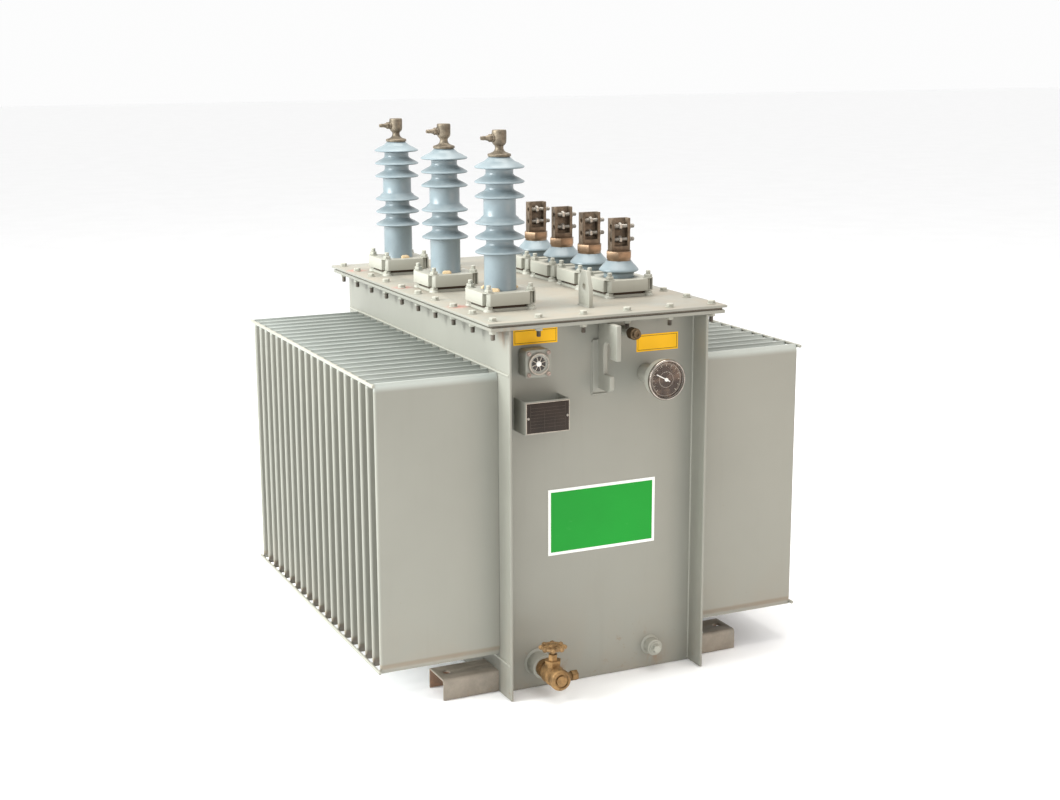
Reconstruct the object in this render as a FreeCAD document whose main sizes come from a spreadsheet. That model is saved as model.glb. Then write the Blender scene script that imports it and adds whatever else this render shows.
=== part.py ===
import FreeCAD, Part
import math
import os
import re
import Sketcher

# Hermetically sealed, oil-filled distribution transformer with corrugated cooling fins.
# Millimetres. Z is up, the ground is Z = 0 and the origin is under the middle of the tank.
# X runs across the tank, from the fins on the left to the fins on the right.
# Y runs along the tank: the end with the instruments and the drain valve faces -Y.

# A text that starts with = is worked out by the sheet from the sizes that it names.
SIZES = {
    # Tank
    "tank_length": 970,  # over the outer faces of the end walls, along Y
    "tank_width": 514,  # over the outer faces of the side plates, along X
    "tank_height": 875,  # ground to the underside of the rim
    "plate": 6,  # tank wall
    "side_plate_overhang": 60,  # past the end walls
    "side_plate_length": "=tank_length + 2 * side_plate_overhang",
    "floor_plate": 6,
    # Skid channels, open side down
    "skid_overhang": 139,  # past the side plates
    "skid_length": "=tank_width + 2 * skid_overhang",
    "skid_width": 93,
    "skid_height": 50,
    "skid_wall": 5,
    "skid_bend": 9,  # outer radius of the bent edges
    "skid_setback": 14,  # end wall's outer face to the skid's near flange
    "skid_clearance": 1,  # round the skid in the side plate's notch
    "skid_bolt_inset": 26,  # skid's end to the bolt
    "skid_bolt_spacing": "=skid_length - 2 * skid_bolt_inset",
    "skid_bolt_radius": 9,
    # Rim and cover
    "rim_thickness": 8,
    "rim_overhang": 44,  # past the side plates
    "rim_width": "=tank_width + 2 * rim_overhang",
    "gasket_thickness": 5,
    "gasket_side_setback": 4,  # inside the rim
    "gasket_end_setback": 5,
    "gasket_width": "=rim_width - 2 * gasket_side_setback",
    "gasket_length": "=side_plate_length - 2 * gasket_end_setback",
    "cover_thickness": 6,
    "cover_overhang": 6,  # past the rim's long sides
    "cover_width": "=rim_width + 2 * cover_overhang",
    # Cooling fins
    "fin_pitch": 50,
    "fin_count": "=floor((tank_length - fin_thickness) / fin_pitch) + 1",
    "fin_depth": 296,
    "fin_thickness": 12,
    "fin_top_gap": 105,  # rim underside to the fins
    "fin_height": "=tank_height - fin_top_gap - fin_bottom",
    "fin_bottom": 96,
    "tie_rod_radius": 4,
    "tie_rod_inset": 5,  # rod's axis to the fin's end, vertically
    "tie_rod_overhang": 6,  # past the first and last fin
    # Lifting hooks
    "hook_plate": 12,
    "hook_reach": 95,
    "hook_tip": 31,  # width of the hanging prong
    "hook_gap": 34,  # sling slot
    "hook_slot_top": 47,  # rim underside to the top of the slot
    "hook_tip_drop": 85,  # rim underside to the prong's end
    "hook_jaw_drop": 125,  # rim underside to the top of the jaw
    "hook_jaw_height": 38,
    "hook_clearance": 3,  # under and in front of the rim
    "hook_corner": 8,  # chamfer under the jaw, and the doubler's overhang at each end
    "doubler_width": 40,
    "doubler_thickness": 5,
    # Cover lugs
    "lug_plate": 10,
    "lug_width": 55,
    "lug_height": 84,
    "lug_top": 26,
    "lug_eye_radius": 8,
    "lug_eye_height": 46,
    "lug_setback": 132,  # cover's end to the lug's middle
    # Clamp frames, the same on both kinds of bushing
    "foot_radius": 48,
    "foot_height": 18.5,
    "frame_size": 132,
    "frame_corner": 12,
    "frame_recess_depth": 5,
    "frame_lift": "=foot_height - frame_recess_depth",  # cover to the frame's underside
    "frame_height": 29,
    "frame_recess_radius": "=foot_radius + bushing_fit",
    "stud_spacing": 106,
    "stud_slot": 14,
    "bushing_fit": 1,  # radial, in the frame and in the cover
    "spigot_depth": 24,
    # High-voltage bushings
    "hv_inset": 72,  # tank's side to the bushings' axes
    "hv_row": "=hv_inset - tank_width / 2",
    "hv_front_setback": 208,  # cover's end to the first axis
    "hv_back_setback": 208,
    "hv_first": "=hv_front_setback - side_plate_length / 2",
    "hv_pitch": "=(side_plate_length - hv_front_setback - hv_back_setback) / 2",
    "hv_stem_radius": 37.5,
    "hv_spigot_radius": 26,
    "hv_core_radius": 32,
    "hv_shed_radius": 58,
    "hv_shed_rim": 5,
    "hv_shed_slope": 13,
    "hv_shed_pitch": 33.8,
    "hv_shed_lift": 88,  # clamp frame to the lowest shed's rim
    "hv_shed_first": "=frame_lift + frame_height + hv_shed_lift",
    "hv_shed_gap": 60.5,  # between the two groups of sheds
    "hv_top_reach": 23.5,  # highest shed's rim to the porcelain's top
    "hv_height": "=hv_shed_first + 4 * hv_shed_pitch + hv_shed_gap + hv_top_reach",
    "hv_neck_radius": 24,
    "hv_disc_radius": 27,
    "hv_disc_height": 10,
    "hv_stalk_radius": 11,
    "hv_stalk_height": 16,
    "hv_clamp_radius": 17,
    "hv_clamp_height": 34,
    "hv_clamp_chamfer": 3,
    "hv_wire_radius": 7,
    "hv_wire_depth": 26,  # from the top of the clamp head
    "hv_pinch_bolt_height": 16,  # above the clamp head's foot
    "hv_pinch_bolt_radius": 5,
    "hv_pinch_bolt_reach": 46,
    "hv_pinch_bolt_root": 2,  # clamp's bore to the buried end of the bolt
    "hv_nut_radius": 9,
    "hv_nut_height": 9,
    # Low-voltage bushings
    "lv_inset": 96,
    "lv_row": "=tank_width / 2 - lv_inset",
    "lv_front_setback": 269.5,
    "lv_back_setback": 346,
    "lv_first": "=lv_front_setback - side_plate_length / 2",
    "lv_pitch": "=(side_plate_length - lv_front_setback - lv_back_setback) / 3",
    "lv_stem_radius": 37,
    "lv_spigot_radius": 30,
    "lv_shed_radius": 48.7,
    "lv_shed_lift": 12,  # clamp frame to the underside of the shed
    "lv_shed_foot": "=frame_lift + frame_height + lv_shed_lift",
    "lv_shed_rim": 5,
    "lv_shed_slope": 3,  # stem to the rim, on the underside
    "lv_top_chamfer": 2,
    "lv_top_radius": 30,
    "lv_shed_height": 28.7,
    "lv_height": "=lv_shed_foot + lv_shed_height",
    "lv_washer_radius": 29,
    "lv_washer_height": 6,
    "lv_nut_radius": 34,
    "lv_nut_height": 17,
    "lv_flag_width": 50,
    "lv_flag_depth": 22,
    "lv_flag_height": 80,
    "lv_flag_wall": 7,
    "lv_flag_base": 12,
    "lv_bolt_radius": 6,
    "lv_bolt_spacing": 32,
    "lv_bolt_first": 28,  # flag's foot to the lower bolt
    # Oil level gauge
    "gauge_inset": 81,  # tank's side to the gauge's middle
    "gauge_drop": 84,  # rim underside to its middle
    "gauge_place": "=gauge_inset - tank_width / 2",
    "gauge_level": "=tank_height - gauge_drop",
    "gauge_size": 64,
    "gauge_depth": 40,
    "gauge_corner": 11,
    "gauge_bezel_radius": 26,
    "gauge_bezel_wall": 4,
    "gauge_bezel_depth": 7,
    "gauge_bezel_chamfer": 2,
    # Rating plate on its bracket
    "rating_inset": 94,
    "rating_drop": 204,
    "rating_place": "=rating_inset - tank_width / 2",
    "rating_level": "=tank_height - rating_drop",
    "rating_width": 112,
    "rating_height": 77,
    "rating_reach": 61,
    "rating_sheet": 2,
    "rating_margin": 5,
    # Dial thermometer
    "dial_inset": 134,
    "dial_drop": 137,
    "dial_place": "=tank_width / 2 - dial_inset",
    "dial_level": "=tank_height - dial_drop",
    "dial_boss_radius": 22.5,
    "dial_boss_length": 40,
    "dial_neck_radius": 14,
    "dial_neck_length": 26,
    "dial_case_radius": 45,
    "dial_case_depth": 35,
    "dial_case_chamfer": 8,
    "dial_bezel_overhang": 3,
    "dial_bezel_radius": "=dial_case_radius + dial_bezel_overhang",
    "dial_bezel_wall": 5,
    "dial_bezel_depth": 9,
    "dial_bezel_front": 3,  # ahead of the case
    "dial_bezel_chamfer": 2,
    "dial_recess": 5,
    # Pressure relief fitting
    "relief_place": 62,  # from the hook's middle
    "relief_drop": 32,
    "relief_level": "=tank_height - relief_drop",
    "relief_stub_radius": 12,
    "relief_stub_length": 35,
    "relief_plug_radius": 14,
    "relief_plug_length": 26,
    "relief_cap_radius": 10,
    "relief_cap_length": 9,
    # Drain valve
    "drain_inset": 94,
    "drain_place": "=drain_inset - tank_width / 2",
    "drain_level": 62,
    "drain_boss_radius": 28,
    "drain_boss_length": 40,
    "drain_stem_reach": 87,  # wall to the valve's vertical axis
    "drain_body_radius": 25,
    "drain_neck_radius": 19,
    "drain_neck_length": 4,
    "drain_inlet_length": 14,  # against the boss
    "drain_globe_back": 14,  # full radius, behind and ahead of the vertical axis
    "drain_globe_front": 12,
    "drain_outlet_run": 30,  # vertical axis to the outlet's end
    "drain_outlet_reach": "=drain_stem_reach + drain_outlet_run",
    "drain_outlet_radius": 22,
    "drain_outlet_lip": 10,
    "drain_bonnet_radius": 17,
    "drain_bonnet_top": 36,  # above the valve's level
    "drain_collar_radius": 20,
    "drain_collar_height": 10,
    "drain_gland_radius": 11,
    "drain_gland_top": 50,
    "drain_cap_radius": 25,
    "drain_cap_length": 19,
    "drain_cap_chamfer": 2,
    "drain_cap_slope": 5,
    "drain_cap_step": 4,
    "drain_port_reach": 38,
    "drain_port_radius": 9,
    "drain_port_setback": 13,
    "drain_port_drop": 4,
    "drain_port_plug_radius": 13,
    "drain_port_plug_length": 16,
    "stem_radius": 5,
    "stem_clearance": 0.05,
    "stem_depth": 26,
    "wheel_radius": 34,
    "wheel_height": 14,
    "wheel_web": 5,
    "wheel_rim": 7,
    "wheel_hub_radius": 10,
    "wheel_hub_chamfer": 2,
    "stem_proud": 3,  # above the wheel
    "stem_play": 1,  # under the stem, in its bore
    "wheel_gap": 8,  # gland to the wheel's underside
    "wheel_notch_radius": 6,
    "wheel_notch_count": 8,
    # Earthing boss
    "earth_inset": 114,
    "earth_place": "=tank_width / 2 - earth_inset",
    "earth_level": 56,
    "earth_radius": 20,
    "earth_length": 27,
    "earth_thread_radius": 5.1,
    "earth_thread_depth": 20,
    "overshoot": 1,  # how far a cut or a joined piece runs past the face it meets
}

TURN_TO_FRONT = FreeCAD.Rotation(FreeCAD.Vector(1, 0, 0), 90)  # local +Z faces -Y
TURN_TO_LEFT = FreeCAD.Rotation(FreeCAD.Vector(0, 1, 0), -90)  # local +Z faces -X
TURN_TO_RIGHT = FreeCAD.Rotation(FreeCAD.Vector(0, 1, 0), 90)  # local +Z faces +X
HALF_TURN = FreeCAD.Rotation(FreeCAD.Vector(0, 0, 1), 180)

COVER_TOP = "(tank_height + rim_thickness + gasket_thickness + cover_thickness)"
FRONT_FACE = "-tank_length / 2"

doc = FreeCAD.newDocument("power_transformer")
pieces = []


# Sheet, expressions and placement


def make_sheet():
    sheet = doc.addObject("Spreadsheet::Sheet", "Sizes")
    for row, name in enumerate(SIZES, start=1):
        sheet.set(f"A{row}", name)
        sheet.setAlias(f"B{row}", name)
    for name, content in SIZES.items():
        sheet.set(name, str(content))
    doc.recompute()
    return sheet


def formula(text):
    """The expression for a size, in which each plain word is an alias of the sheet."""
    return re.sub(r"[a-z_]+", lambda word: "Sizes." + word.group(), text)


def value(text):
    return float(doc.Sizes.evalExpression(formula(text)))


def bind(item, **sizes):
    for name, text in sizes.items():
        item.setExpression(name, formula(text))
    return item


def place(item, x="0", y="0", z="0", turn=None):
    if turn is not None:
        item.Placement = FreeCAD.Placement(FreeCAD.Vector(), turn)
    for axis, text in zip("xyz", (x, y, z)):
        item.setExpression(f"Placement.Base.{axis}", formula(text))
    return item


def piece(item, label):
    """Marks an object as a finished sub-part."""
    item.Label = label
    pieces.append(item)
    return item


# Part primitives and booleans


def box(name, length, width, height, x, y, z):
    item = doc.addObject("Part::Box", name)
    bind(item, Length=length, Width=width, Height=height)
    return place(item, x, y, z)


def cylinder(name, radius, height, x="0", y="0", z="0", turn=None):
    item = doc.addObject("Part::Cylinder", name)
    bind(item, Radius=radius, Height=height)
    return place(item, x, y, z, turn)


def hexagon(name, radius, height, x="0", y="0", z="0", turn=None):
    item = doc.addObject("Part::Prism", name)
    item.Polygon = 6
    bind(item, Circumradius=radius, Height=height)
    return place(item, x, y, z, turn)


def fuse(name, shapes):
    item = doc.addObject("Part::MultiFuse", name)
    item.Shapes = shapes
    item.Refine = True
    return item


def cut(name, base, tool):
    item = doc.addObject("Part::Cut", name)
    item.Base = base
    item.Tool = tool
    return item


def group(name, shapes):
    """Like pieces that share a node without touching each other."""
    item = doc.addObject("Part::Compound", name)
    item.Links = shapes
    return item


# Bodies, sketches and features


def body(name):
    return doc.addObject("PartDesign::Body", name)


def sketch(owner, plane):
    item = owner.newObject("Sketcher::SketchObject", owner.Name + "_sketch")
    datum = next(f for f in owner.Origin.OriginFeatures if f.Role == plane)
    item.AttachmentSupport = [(datum, "")]
    item.MapMode = "FlatFace"
    return item


def pin_point(item, edge, end, x, y):
    """Holds a point of an edge at x and y from the sketch's origin."""
    for kind, text in (("DistanceX", x), ("DistanceY", y)):
        if text is not None:
            number = item.addConstraint(Sketcher.Constraint(kind, -1, 1, edge, end, value(text)))
            item.setExpression(f"Constraints[{number}]", formula(text))


def outline(item, corners):
    """Draws a closed outline. A corner is (x, y), or (x, y, centre x, centre y) after an arc."""
    points = [FreeCAD.Vector(value(c[0]), value(c[1])) for c in corners]
    ends = []
    for number, corner in enumerate(corners):
        start, stop = points[number - 1], points[number]
        if len(corner) == 2:
            edge = item.addGeometry(Part.LineSegment(start, stop))
            ends.append((edge, 1, 2))
            continue
        centre = FreeCAD.Vector(value(corner[2]), value(corner[3]))
        first, last = start - centre, stop - centre
        clockwise = first.cross(last).z < 0
        if clockwise:
            first, last = last, first
        circle = Part.Circle(centre, FreeCAD.Vector(0, 0, 1), first.Length)
        angles = [math.atan2(v.y, v.x) for v in (first, last)]
        if angles[1] < angles[0]:
            angles[1] += 2 * math.pi
        edge = item.addGeometry(Part.ArcOfCircle(circle, *angles))
        ends.append((edge, 2, 1) if clockwise else (edge, 1, 2))
        upright = abs(stop.x - start.x) < abs(stop.y - start.y)
        pin_point(item, edge, 3, corner[2] if upright else None, None if upright else corner[3])
    for number, corner in enumerate(corners):
        edge, _, last = ends[number]
        following, first, _ = ends[(number + 1) % len(ends)]
        item.addConstraint(Sketcher.Constraint("Coincident", edge, last, following, first))
        pin_point(item, edge, last, corner[0], corner[1])


def rectangle(item, left, bottom, right, top):
    outline(item, [(left, bottom), (right, bottom), (right, top), (left, top)])


def circle(item, radius, x="0", y="0"):
    centre = FreeCAD.Vector(value(x), value(y))
    edge = item.addGeometry(Part.Circle(centre, FreeCAD.Vector(0, 0, 1), value(radius)))
    number = item.addConstraint(Sketcher.Constraint("Radius", edge, value(radius)))
    item.setExpression(f"Constraints[{number}]", formula(radius))
    pin_point(item, edge, 3, x, y)


def pad(owner, profile, length, symmetric=False):
    item = owner.newObject("PartDesign::Pad", owner.Name + "_pad")
    item.Profile = profile
    item.SideType = "Symmetric" if symmetric else "One side"
    return bind(item, Length=length)


def pocket(owner, profile, length, symmetric=False, reverse=False):
    item = owner.newObject("PartDesign::Pocket", owner.Name + "_pocket")
    item.Profile = profile
    item.SideType = "Symmetric" if symmetric else "One side"
    item.Reversed = reverse
    return bind(item, Length=length)


def revolve(owner, profile):
    item = owner.newObject("PartDesign::Revolution", owner.Name + "_revolution")
    item.Profile = profile
    item.ReferenceAxis = (profile, ["V_Axis"])
    item.Angle = 360
    return item


def turned(name, corners):
    """A body of revolution about its local Z, from its half outline of radii and heights."""
    owner = body(name)
    profile = sketch(owner, "XZ_Plane")
    outline(profile, corners)
    revolve(owner, profile)
    return owner


# Tank


def end_walls():
    for label, y in (("front_wall", FRONT_FACE), ("back_wall", "tank_length / 2 - plate")):
        piece(box(label, "tank_width - 2 * plate", "plate", "tank_height",
                  "plate - tank_width / 2", y, "0"), label)


def side_plates():
    """Each plate stands past the end walls and is notched over both skids."""
    middle = "tank_length / 2 - skid_setback - skid_width / 2"
    half = "skid_width / 2 + skid_clearance"
    top = "skid_height + skid_clearance"
    near, far = f"{middle} - ({half})", f"{middle} + {half}"
    end = "side_plate_length / 2"
    for label, x in (("side_plate_left", "-tank_width / 2"),
                     ("side_plate_right", "tank_width / 2 - plate")):
        owner = body(label)
        profile = sketch(owner, "YZ_Plane")
        outline(profile, [
            (f"-({end})", "0"),
            (f"-({far})", "0"), (f"-({far})", top), (f"-({near})", top), (f"-({near})", "0"),
            (near, "0"), (near, top), (far, top), (far, "0"),
            (end, "0"), (end, "tank_height"), (f"-({end})", "tank_height"),
        ])
        pad(owner, profile, "plate")
        piece(place(owner, x), label)


def tank_floor():
    piece(box("tank_bottom", "tank_width - 2 * plate", "tank_length - 2 * plate", "floor_plate",
              "plate - tank_width / 2", "plate - tank_length / 2", "skid_height"), "tank_bottom")


def skids():
    """Bent channels that lie across the tank, with a bolt hole near each end of the web."""
    half, bend = "skid_width / 2", "skid_bend"
    inner, inner_bend = "(skid_width / 2 - skid_wall)", "(skid_bend - skid_wall)"
    top, ceiling = "skid_height", "(skid_height - skid_wall)"
    for label, side in (("skid_channel_front", "-"), ("skid_channel_back", "")):
        owner = body(label)
        profile = sketch(owner, "YZ_Plane")
        outline(profile, [
            (f"-{half}", "0"), (f"-{inner}", "0"),
            (f"-{inner}", f"{ceiling} - {inner_bend}"),
            (f"{inner_bend} - {inner}", ceiling,
             f"{inner_bend} - {inner}", f"{ceiling} - {inner_bend}"),
            (f"{inner} - {inner_bend}", ceiling),
            (inner, f"{ceiling} - {inner_bend}",
             f"{inner} - {inner_bend}", f"{ceiling} - {inner_bend}"),
            (inner, "0"), (half, "0"),
            (half, f"{top} - {bend}"),
            (f"{half} - {bend}", top, f"{half} - {bend}", f"{top} - {bend}"),
            (f"{bend} - {half}", top),
            (f"-{half}", f"{top} - {bend}", f"{bend} - {half}", f"{top} - {bend}"),
        ])
        pad(owner, profile, "skid_length", symmetric=True)
        holes = sketch(owner, "XY_Plane")
        for x in ("skid_bolt_spacing / 2", "-skid_bolt_spacing / 2"):
            circle(holes, "skid_bolt_radius", x)
        pocket(owner, holes, "skid_height", reverse=True)
        piece(place(owner, y=f"{side}(tank_length / 2 - skid_setback - skid_width / 2)"), label)


# Rim and cover


def frame_plate(label, width, length, thickness, z):
    """A rectangular ring that is open over the inside of the tank."""
    owner = body(label)
    profile = sketch(owner, "XY_Plane")
    rectangle(profile, f"-{width} / 2", f"-{length} / 2", f"{width} / 2", f"{length} / 2")
    inner_x, inner_y = "tank_width / 2 - plate", "tank_length / 2 - plate"
    rectangle(profile, f"-({inner_x})", f"-({inner_y})", inner_x, inner_y)
    pad(owner, profile, thickness)
    piece(place(owner, z=z), label)


def cover():
    """Flat plate with a round opening under each bushing."""
    owner = body("cover")
    profile = sketch(owner, "XY_Plane")
    rectangle(profile, "-cover_width / 2", "-side_plate_length / 2",
              "cover_width / 2", "side_plate_length / 2")
    for number in range(3):
        circle(profile, "hv_spigot_radius + bushing_fit", "hv_row", f"hv_first + {number} * hv_pitch")
    for number in range(4):
        circle(profile, "lv_spigot_radius + bushing_fit", "lv_row", f"lv_first + {number} * lv_pitch")
    pad(owner, profile, "cover_thickness")
    piece(place(owner, z=f"{COVER_TOP} - cover_thickness"), "cover")


# Cooling fins


def fin_banks():
    """Pressed fins with a round outer edge, in a row along each side plate."""
    end = "fin_thickness / 2"
    for side, turn in (("right", None), ("left", HALF_TURN)):
        label = "fin_bank_" + side
        owner = body(label)
        profile = sketch(owner, "XY_Plane")
        outline(profile, [
            ("0", "0"), (f"fin_depth - {end}", "0"),
            ("fin_depth", end, f"fin_depth - {end}", end),
            (f"fin_depth - {end}", "fin_thickness", f"fin_depth - {end}", end),
            ("0", "fin_thickness"),
        ])
        fin = pad(owner, profile, "fin_height")
        row = owner.newObject("PartDesign::LinearPattern", label + "_row")
        row.Originals = [fin]
        row.Direction = (profile, ["V_Axis"])
        bind(row, Length="fin_pitch * (fin_count - 1)", Occurrences="fin_count")
        owner.Tip = row
        start = "-(fin_pitch * (fin_count - 1) + fin_thickness) / 2"
        if side == "right":
            place(owner, "tank_width / 2", start, "fin_bottom", turn)
        else:
            place(owner, "-tank_width / 2", f"-({start})", "fin_bottom", turn)
        piece(owner, label)


def fin_tie_rods():
    """A round rod welded along the outer edges of the fins, at the top and at the bottom."""
    length = "fin_pitch * (fin_count - 1) + fin_thickness + 2 * tie_rod_overhang"
    rods = []
    for side in ("-", ""):
        for level in ("tie_rod_inset", "fin_height - tie_rod_inset"):
            rods.append(cylinder(
                "tie_rod", "tie_rod_radius", length,
                f"{side}(tank_width / 2 + fin_depth + tie_rod_radius)", f"({length}) / 2",
                f"fin_bottom + {level}", TURN_TO_FRONT))
    piece(group("fin_tie_rods", rods), "fin_tie_rods")


# Lifting points


def lifting_hooks():
    """A thick plate on edge, with a slot for the sling behind its hanging prong."""
    wall = "doubler_thickness"
    prong = "(hook_reach - hook_tip)"
    inner = "(hook_reach - hook_tip - hook_gap)"
    radius = "hook_gap / 2"
    shelf = "(side_plate_length / 2 + hook_clearance - tank_length / 2)"
    for label, side, turn in (("lifting_hook_front", "-", HALF_TURN), ("lifting_hook_back", "", None)):
        plate = body(label + "_plate")
        profile = sketch(plate, "YZ_Plane")
        outline(profile, [
            (wall, "-hook_clearance"),
            (wall, "-hook_jaw_drop - hook_jaw_height"),
            (f"{prong} - hook_corner", "-hook_jaw_drop - hook_jaw_height"),
            (prong, "-hook_jaw_drop - hook_jaw_height + hook_corner"),
            (prong, "-hook_jaw_drop"),
            (inner, "-hook_jaw_drop"),
            (inner, f"-hook_slot_top - {radius}"),
            (f"{inner} + {radius}", "-hook_slot_top",
             f"{inner} + {radius}", f"-hook_slot_top - {radius}"),
            (prong, f"-hook_slot_top - {radius}",
             f"{inner} + {radius}", f"-hook_slot_top - {radius}"),
            (prong, "-hook_tip_drop"),
            ("hook_reach", "-hook_tip_drop"),
            ("hook_reach", "-hook_clearance"),
            (shelf, "-hook_clearance"),
        ])
        pad(plate, profile, "hook_plate", symmetric=True)
        doubler = box(label + "_doubler", "doubler_width", "doubler_thickness",
                      "hook_jaw_drop + hook_jaw_height - hook_slot_top + hook_corner",
                      "-doubler_width / 2", "0", "-hook_jaw_drop - hook_jaw_height - hook_corner")
        hook = fuse(label, [plate, doubler])
        piece(place(hook, "0", f"{side}tank_length / 2", "tank_height", turn), label)


def cover_lugs():
    """An upright plate with an eye, welded to the cover at each end."""
    half, top = "lug_width / 2", "lug_top / 2"
    for label, side in (("cover_lug_front", "-"), ("cover_lug_back", "")):
        owner = body(label)
        profile = sketch(owner, "YZ_Plane")
        outline(profile, [
            (f"-{half}", "0"), (half, "0"), (half, "lug_height / 2"),
            (top, "lug_height"), (f"-{top}", "lug_height"), (f"-{half}", "lug_height / 2"),
        ])
        circle(profile, "lug_eye_radius", "0", "lug_eye_height")
        pad(owner, profile, "lug_plate", symmetric=True)
        piece(place(owner, y=f"{side}(side_plate_length / 2 - lug_setback)", z=COVER_TOP), label)


# Bushings


def foot(spigot, stem):
    """The half outline shared by both bushings: spigot in the cover, foot and shoulder."""
    return [
        ("0", "-spigot_depth"), (spigot, "-spigot_depth"), (spigot, "0"),
        ("foot_radius", "0"), ("foot_radius", "foot_height"), (stem, "foot_height"),
    ]


def shed(rim_height):
    """One shed of a high-voltage bushing: flat below, round at the rim, sloping above."""
    half = "hv_shed_rim / 2"
    centre_x = f"hv_shed_radius - {half}"
    return [
        ("hv_core_radius", f"{rim_height} - {half}"),
        (centre_x, f"{rim_height} - {half}"),
        ("hv_shed_radius", rim_height, centre_x, rim_height),
        (centre_x, f"{rim_height} + {half}", centre_x, rim_height),
        ("hv_core_radius", f"{rim_height} + {half} + hv_shed_slope"),
    ]


def hv_porcelain(label):
    corners = foot("hv_spigot_radius", "hv_stem_radius")
    corners.append(("hv_stem_radius", "hv_shed_first - hv_shed_pitch"))
    for number in range(6):
        group_gap = " + hv_shed_gap - hv_shed_pitch" if number > 2 else ""
        corners += shed(f"(hv_shed_first + {number} * hv_shed_pitch{group_gap})")
    corners += [
        ("hv_neck_radius", "hv_height - 4"), ("hv_neck_radius", "hv_height"), ("0", "hv_height"),
    ]
    return turned(label, corners)


def hv_terminal(label):
    """Seat, stalk and clamp head, bored from above for the conductor, with its pinch bolt."""
    head_foot = "hv_disc_height + hv_stalk_height"
    top = f"{head_foot} + hv_clamp_height"
    level = f"{head_foot} + hv_pinch_bolt_height"
    solid = turned(label + "_head", [
        ("0", "0"), ("hv_disc_radius", "0"), ("hv_disc_radius", "hv_disc_height"),
        ("hv_stalk_radius", "hv_disc_height"), ("hv_stalk_radius", head_foot),
        ("hv_clamp_radius", head_foot), ("hv_clamp_radius", f"{top} - hv_clamp_chamfer"),
        ("hv_clamp_radius - hv_clamp_chamfer", top), ("0", top),
    ])
    wire = cylinder(label + "_bore", "hv_wire_radius", "hv_wire_depth + overshoot",
                    z=f"{top} - hv_wire_depth")
    head = cut(label + "_drilled", solid, wire)
    root = "hv_wire_radius + hv_pinch_bolt_root"
    shank = cylinder(label + "_shank", "hv_pinch_bolt_radius", f"hv_pinch_bolt_reach - ({root})",
                     x=f"-({root})", z=level, turn=TURN_TO_LEFT)
    nut = hexagon(label + "_nut", "hv_nut_radius", "hv_nut_height + overshoot",
                  x="overshoot - hv_clamp_radius", z=level, turn=TURN_TO_LEFT)
    return fuse(label, [head, shank, nut])


def clamp_frame(name, stem):
    """A square casting over the bushing's foot, with an open stud slot at each corner."""
    half, corner = "frame_size / 2", "frame_corner"
    owner = body(name)
    profile = sketch(owner, "XY_Plane")
    outline(profile, [
        (f"-{half}", f"{corner} - {half}"), (f"{corner} - {half}", f"-{half}"),
        (f"{half} - {corner}", f"-{half}"), (half, f"{corner} - {half}"),
        (half, f"{half} - {corner}"), (f"{half} - {corner}", half),
        (f"{corner} - {half}", half), (f"-{half}", f"{half} - {corner}"),
    ])
    circle(profile, f"{stem} + bushing_fit")
    pad(owner, profile, "frame_height")
    recess = sketch(owner, "XY_Plane")
    circle(recess, "frame_recess_radius")
    pocket(owner, recess, "foot_height - frame_lift", reverse=True)
    slot = sketch(owner, "XY_Plane")
    stud, reach = "stud_spacing / 2", "stud_slot / 2"
    outline(slot, [
        (f"{stud} - {reach}", f"-{half}"), (f"{stud} + {reach}", f"-{half}"),
        (f"{stud} + {reach}", f"-{stud}"),
        (stud, f"{reach} - {stud}", stud, f"-{stud}"),
        (f"{stud} - {reach}", f"-{stud}", stud, f"-{stud}"),
    ])
    opening = pocket(owner, slot, "frame_height", reverse=True)
    ring = owner.newObject("PartDesign::PolarPattern", name + "_slots")
    ring.Originals = [opening]
    ring.Axis = (profile, ["N_Axis"])
    ring.Angle = 360
    ring.Occurrences = 4
    owner.Tip = ring
    return owner


def hv_bushings():
    frames = []
    for number, position in enumerate(("front", "middle", "back")):
        y = f"hv_first + {number} * hv_pitch"
        porcelain = hv_porcelain("hv_bushing_" + position)
        piece(place(porcelain, "hv_row", y, COVER_TOP), "hv_bushing_" + position)
        terminal = hv_terminal("hv_terminal_" + position)
        piece(place(terminal, "hv_row", y, f"{COVER_TOP} + hv_height"), "hv_terminal_" + position)
        frame = clamp_frame(f"hv_clamp_frame_{position}", "hv_stem_radius")
        frames.append(place(frame, "hv_row", y, f"{COVER_TOP} + frame_lift"))
    piece(group("hv_clamp_frames", frames), "hv_clamp_frames")


def lv_porcelain(label):
    inner = "lv_shed_radius - lv_shed_rim / 2"
    rim = "lv_shed_foot + lv_shed_slope"
    middle = f"{rim} + lv_shed_rim / 2"
    return turned(label, foot("lv_spigot_radius", "lv_stem_radius") + [
        ("lv_stem_radius", "lv_shed_foot"), (inner, rim),
        ("lv_shed_radius", middle, inner, middle), (inner, f"{rim} + lv_shed_rim", inner, middle),
        ("lv_top_radius", "lv_height - lv_top_chamfer"),
        ("lv_top_radius - lv_top_chamfer", "lv_height"), ("0", "lv_height"),
    ])


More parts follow.
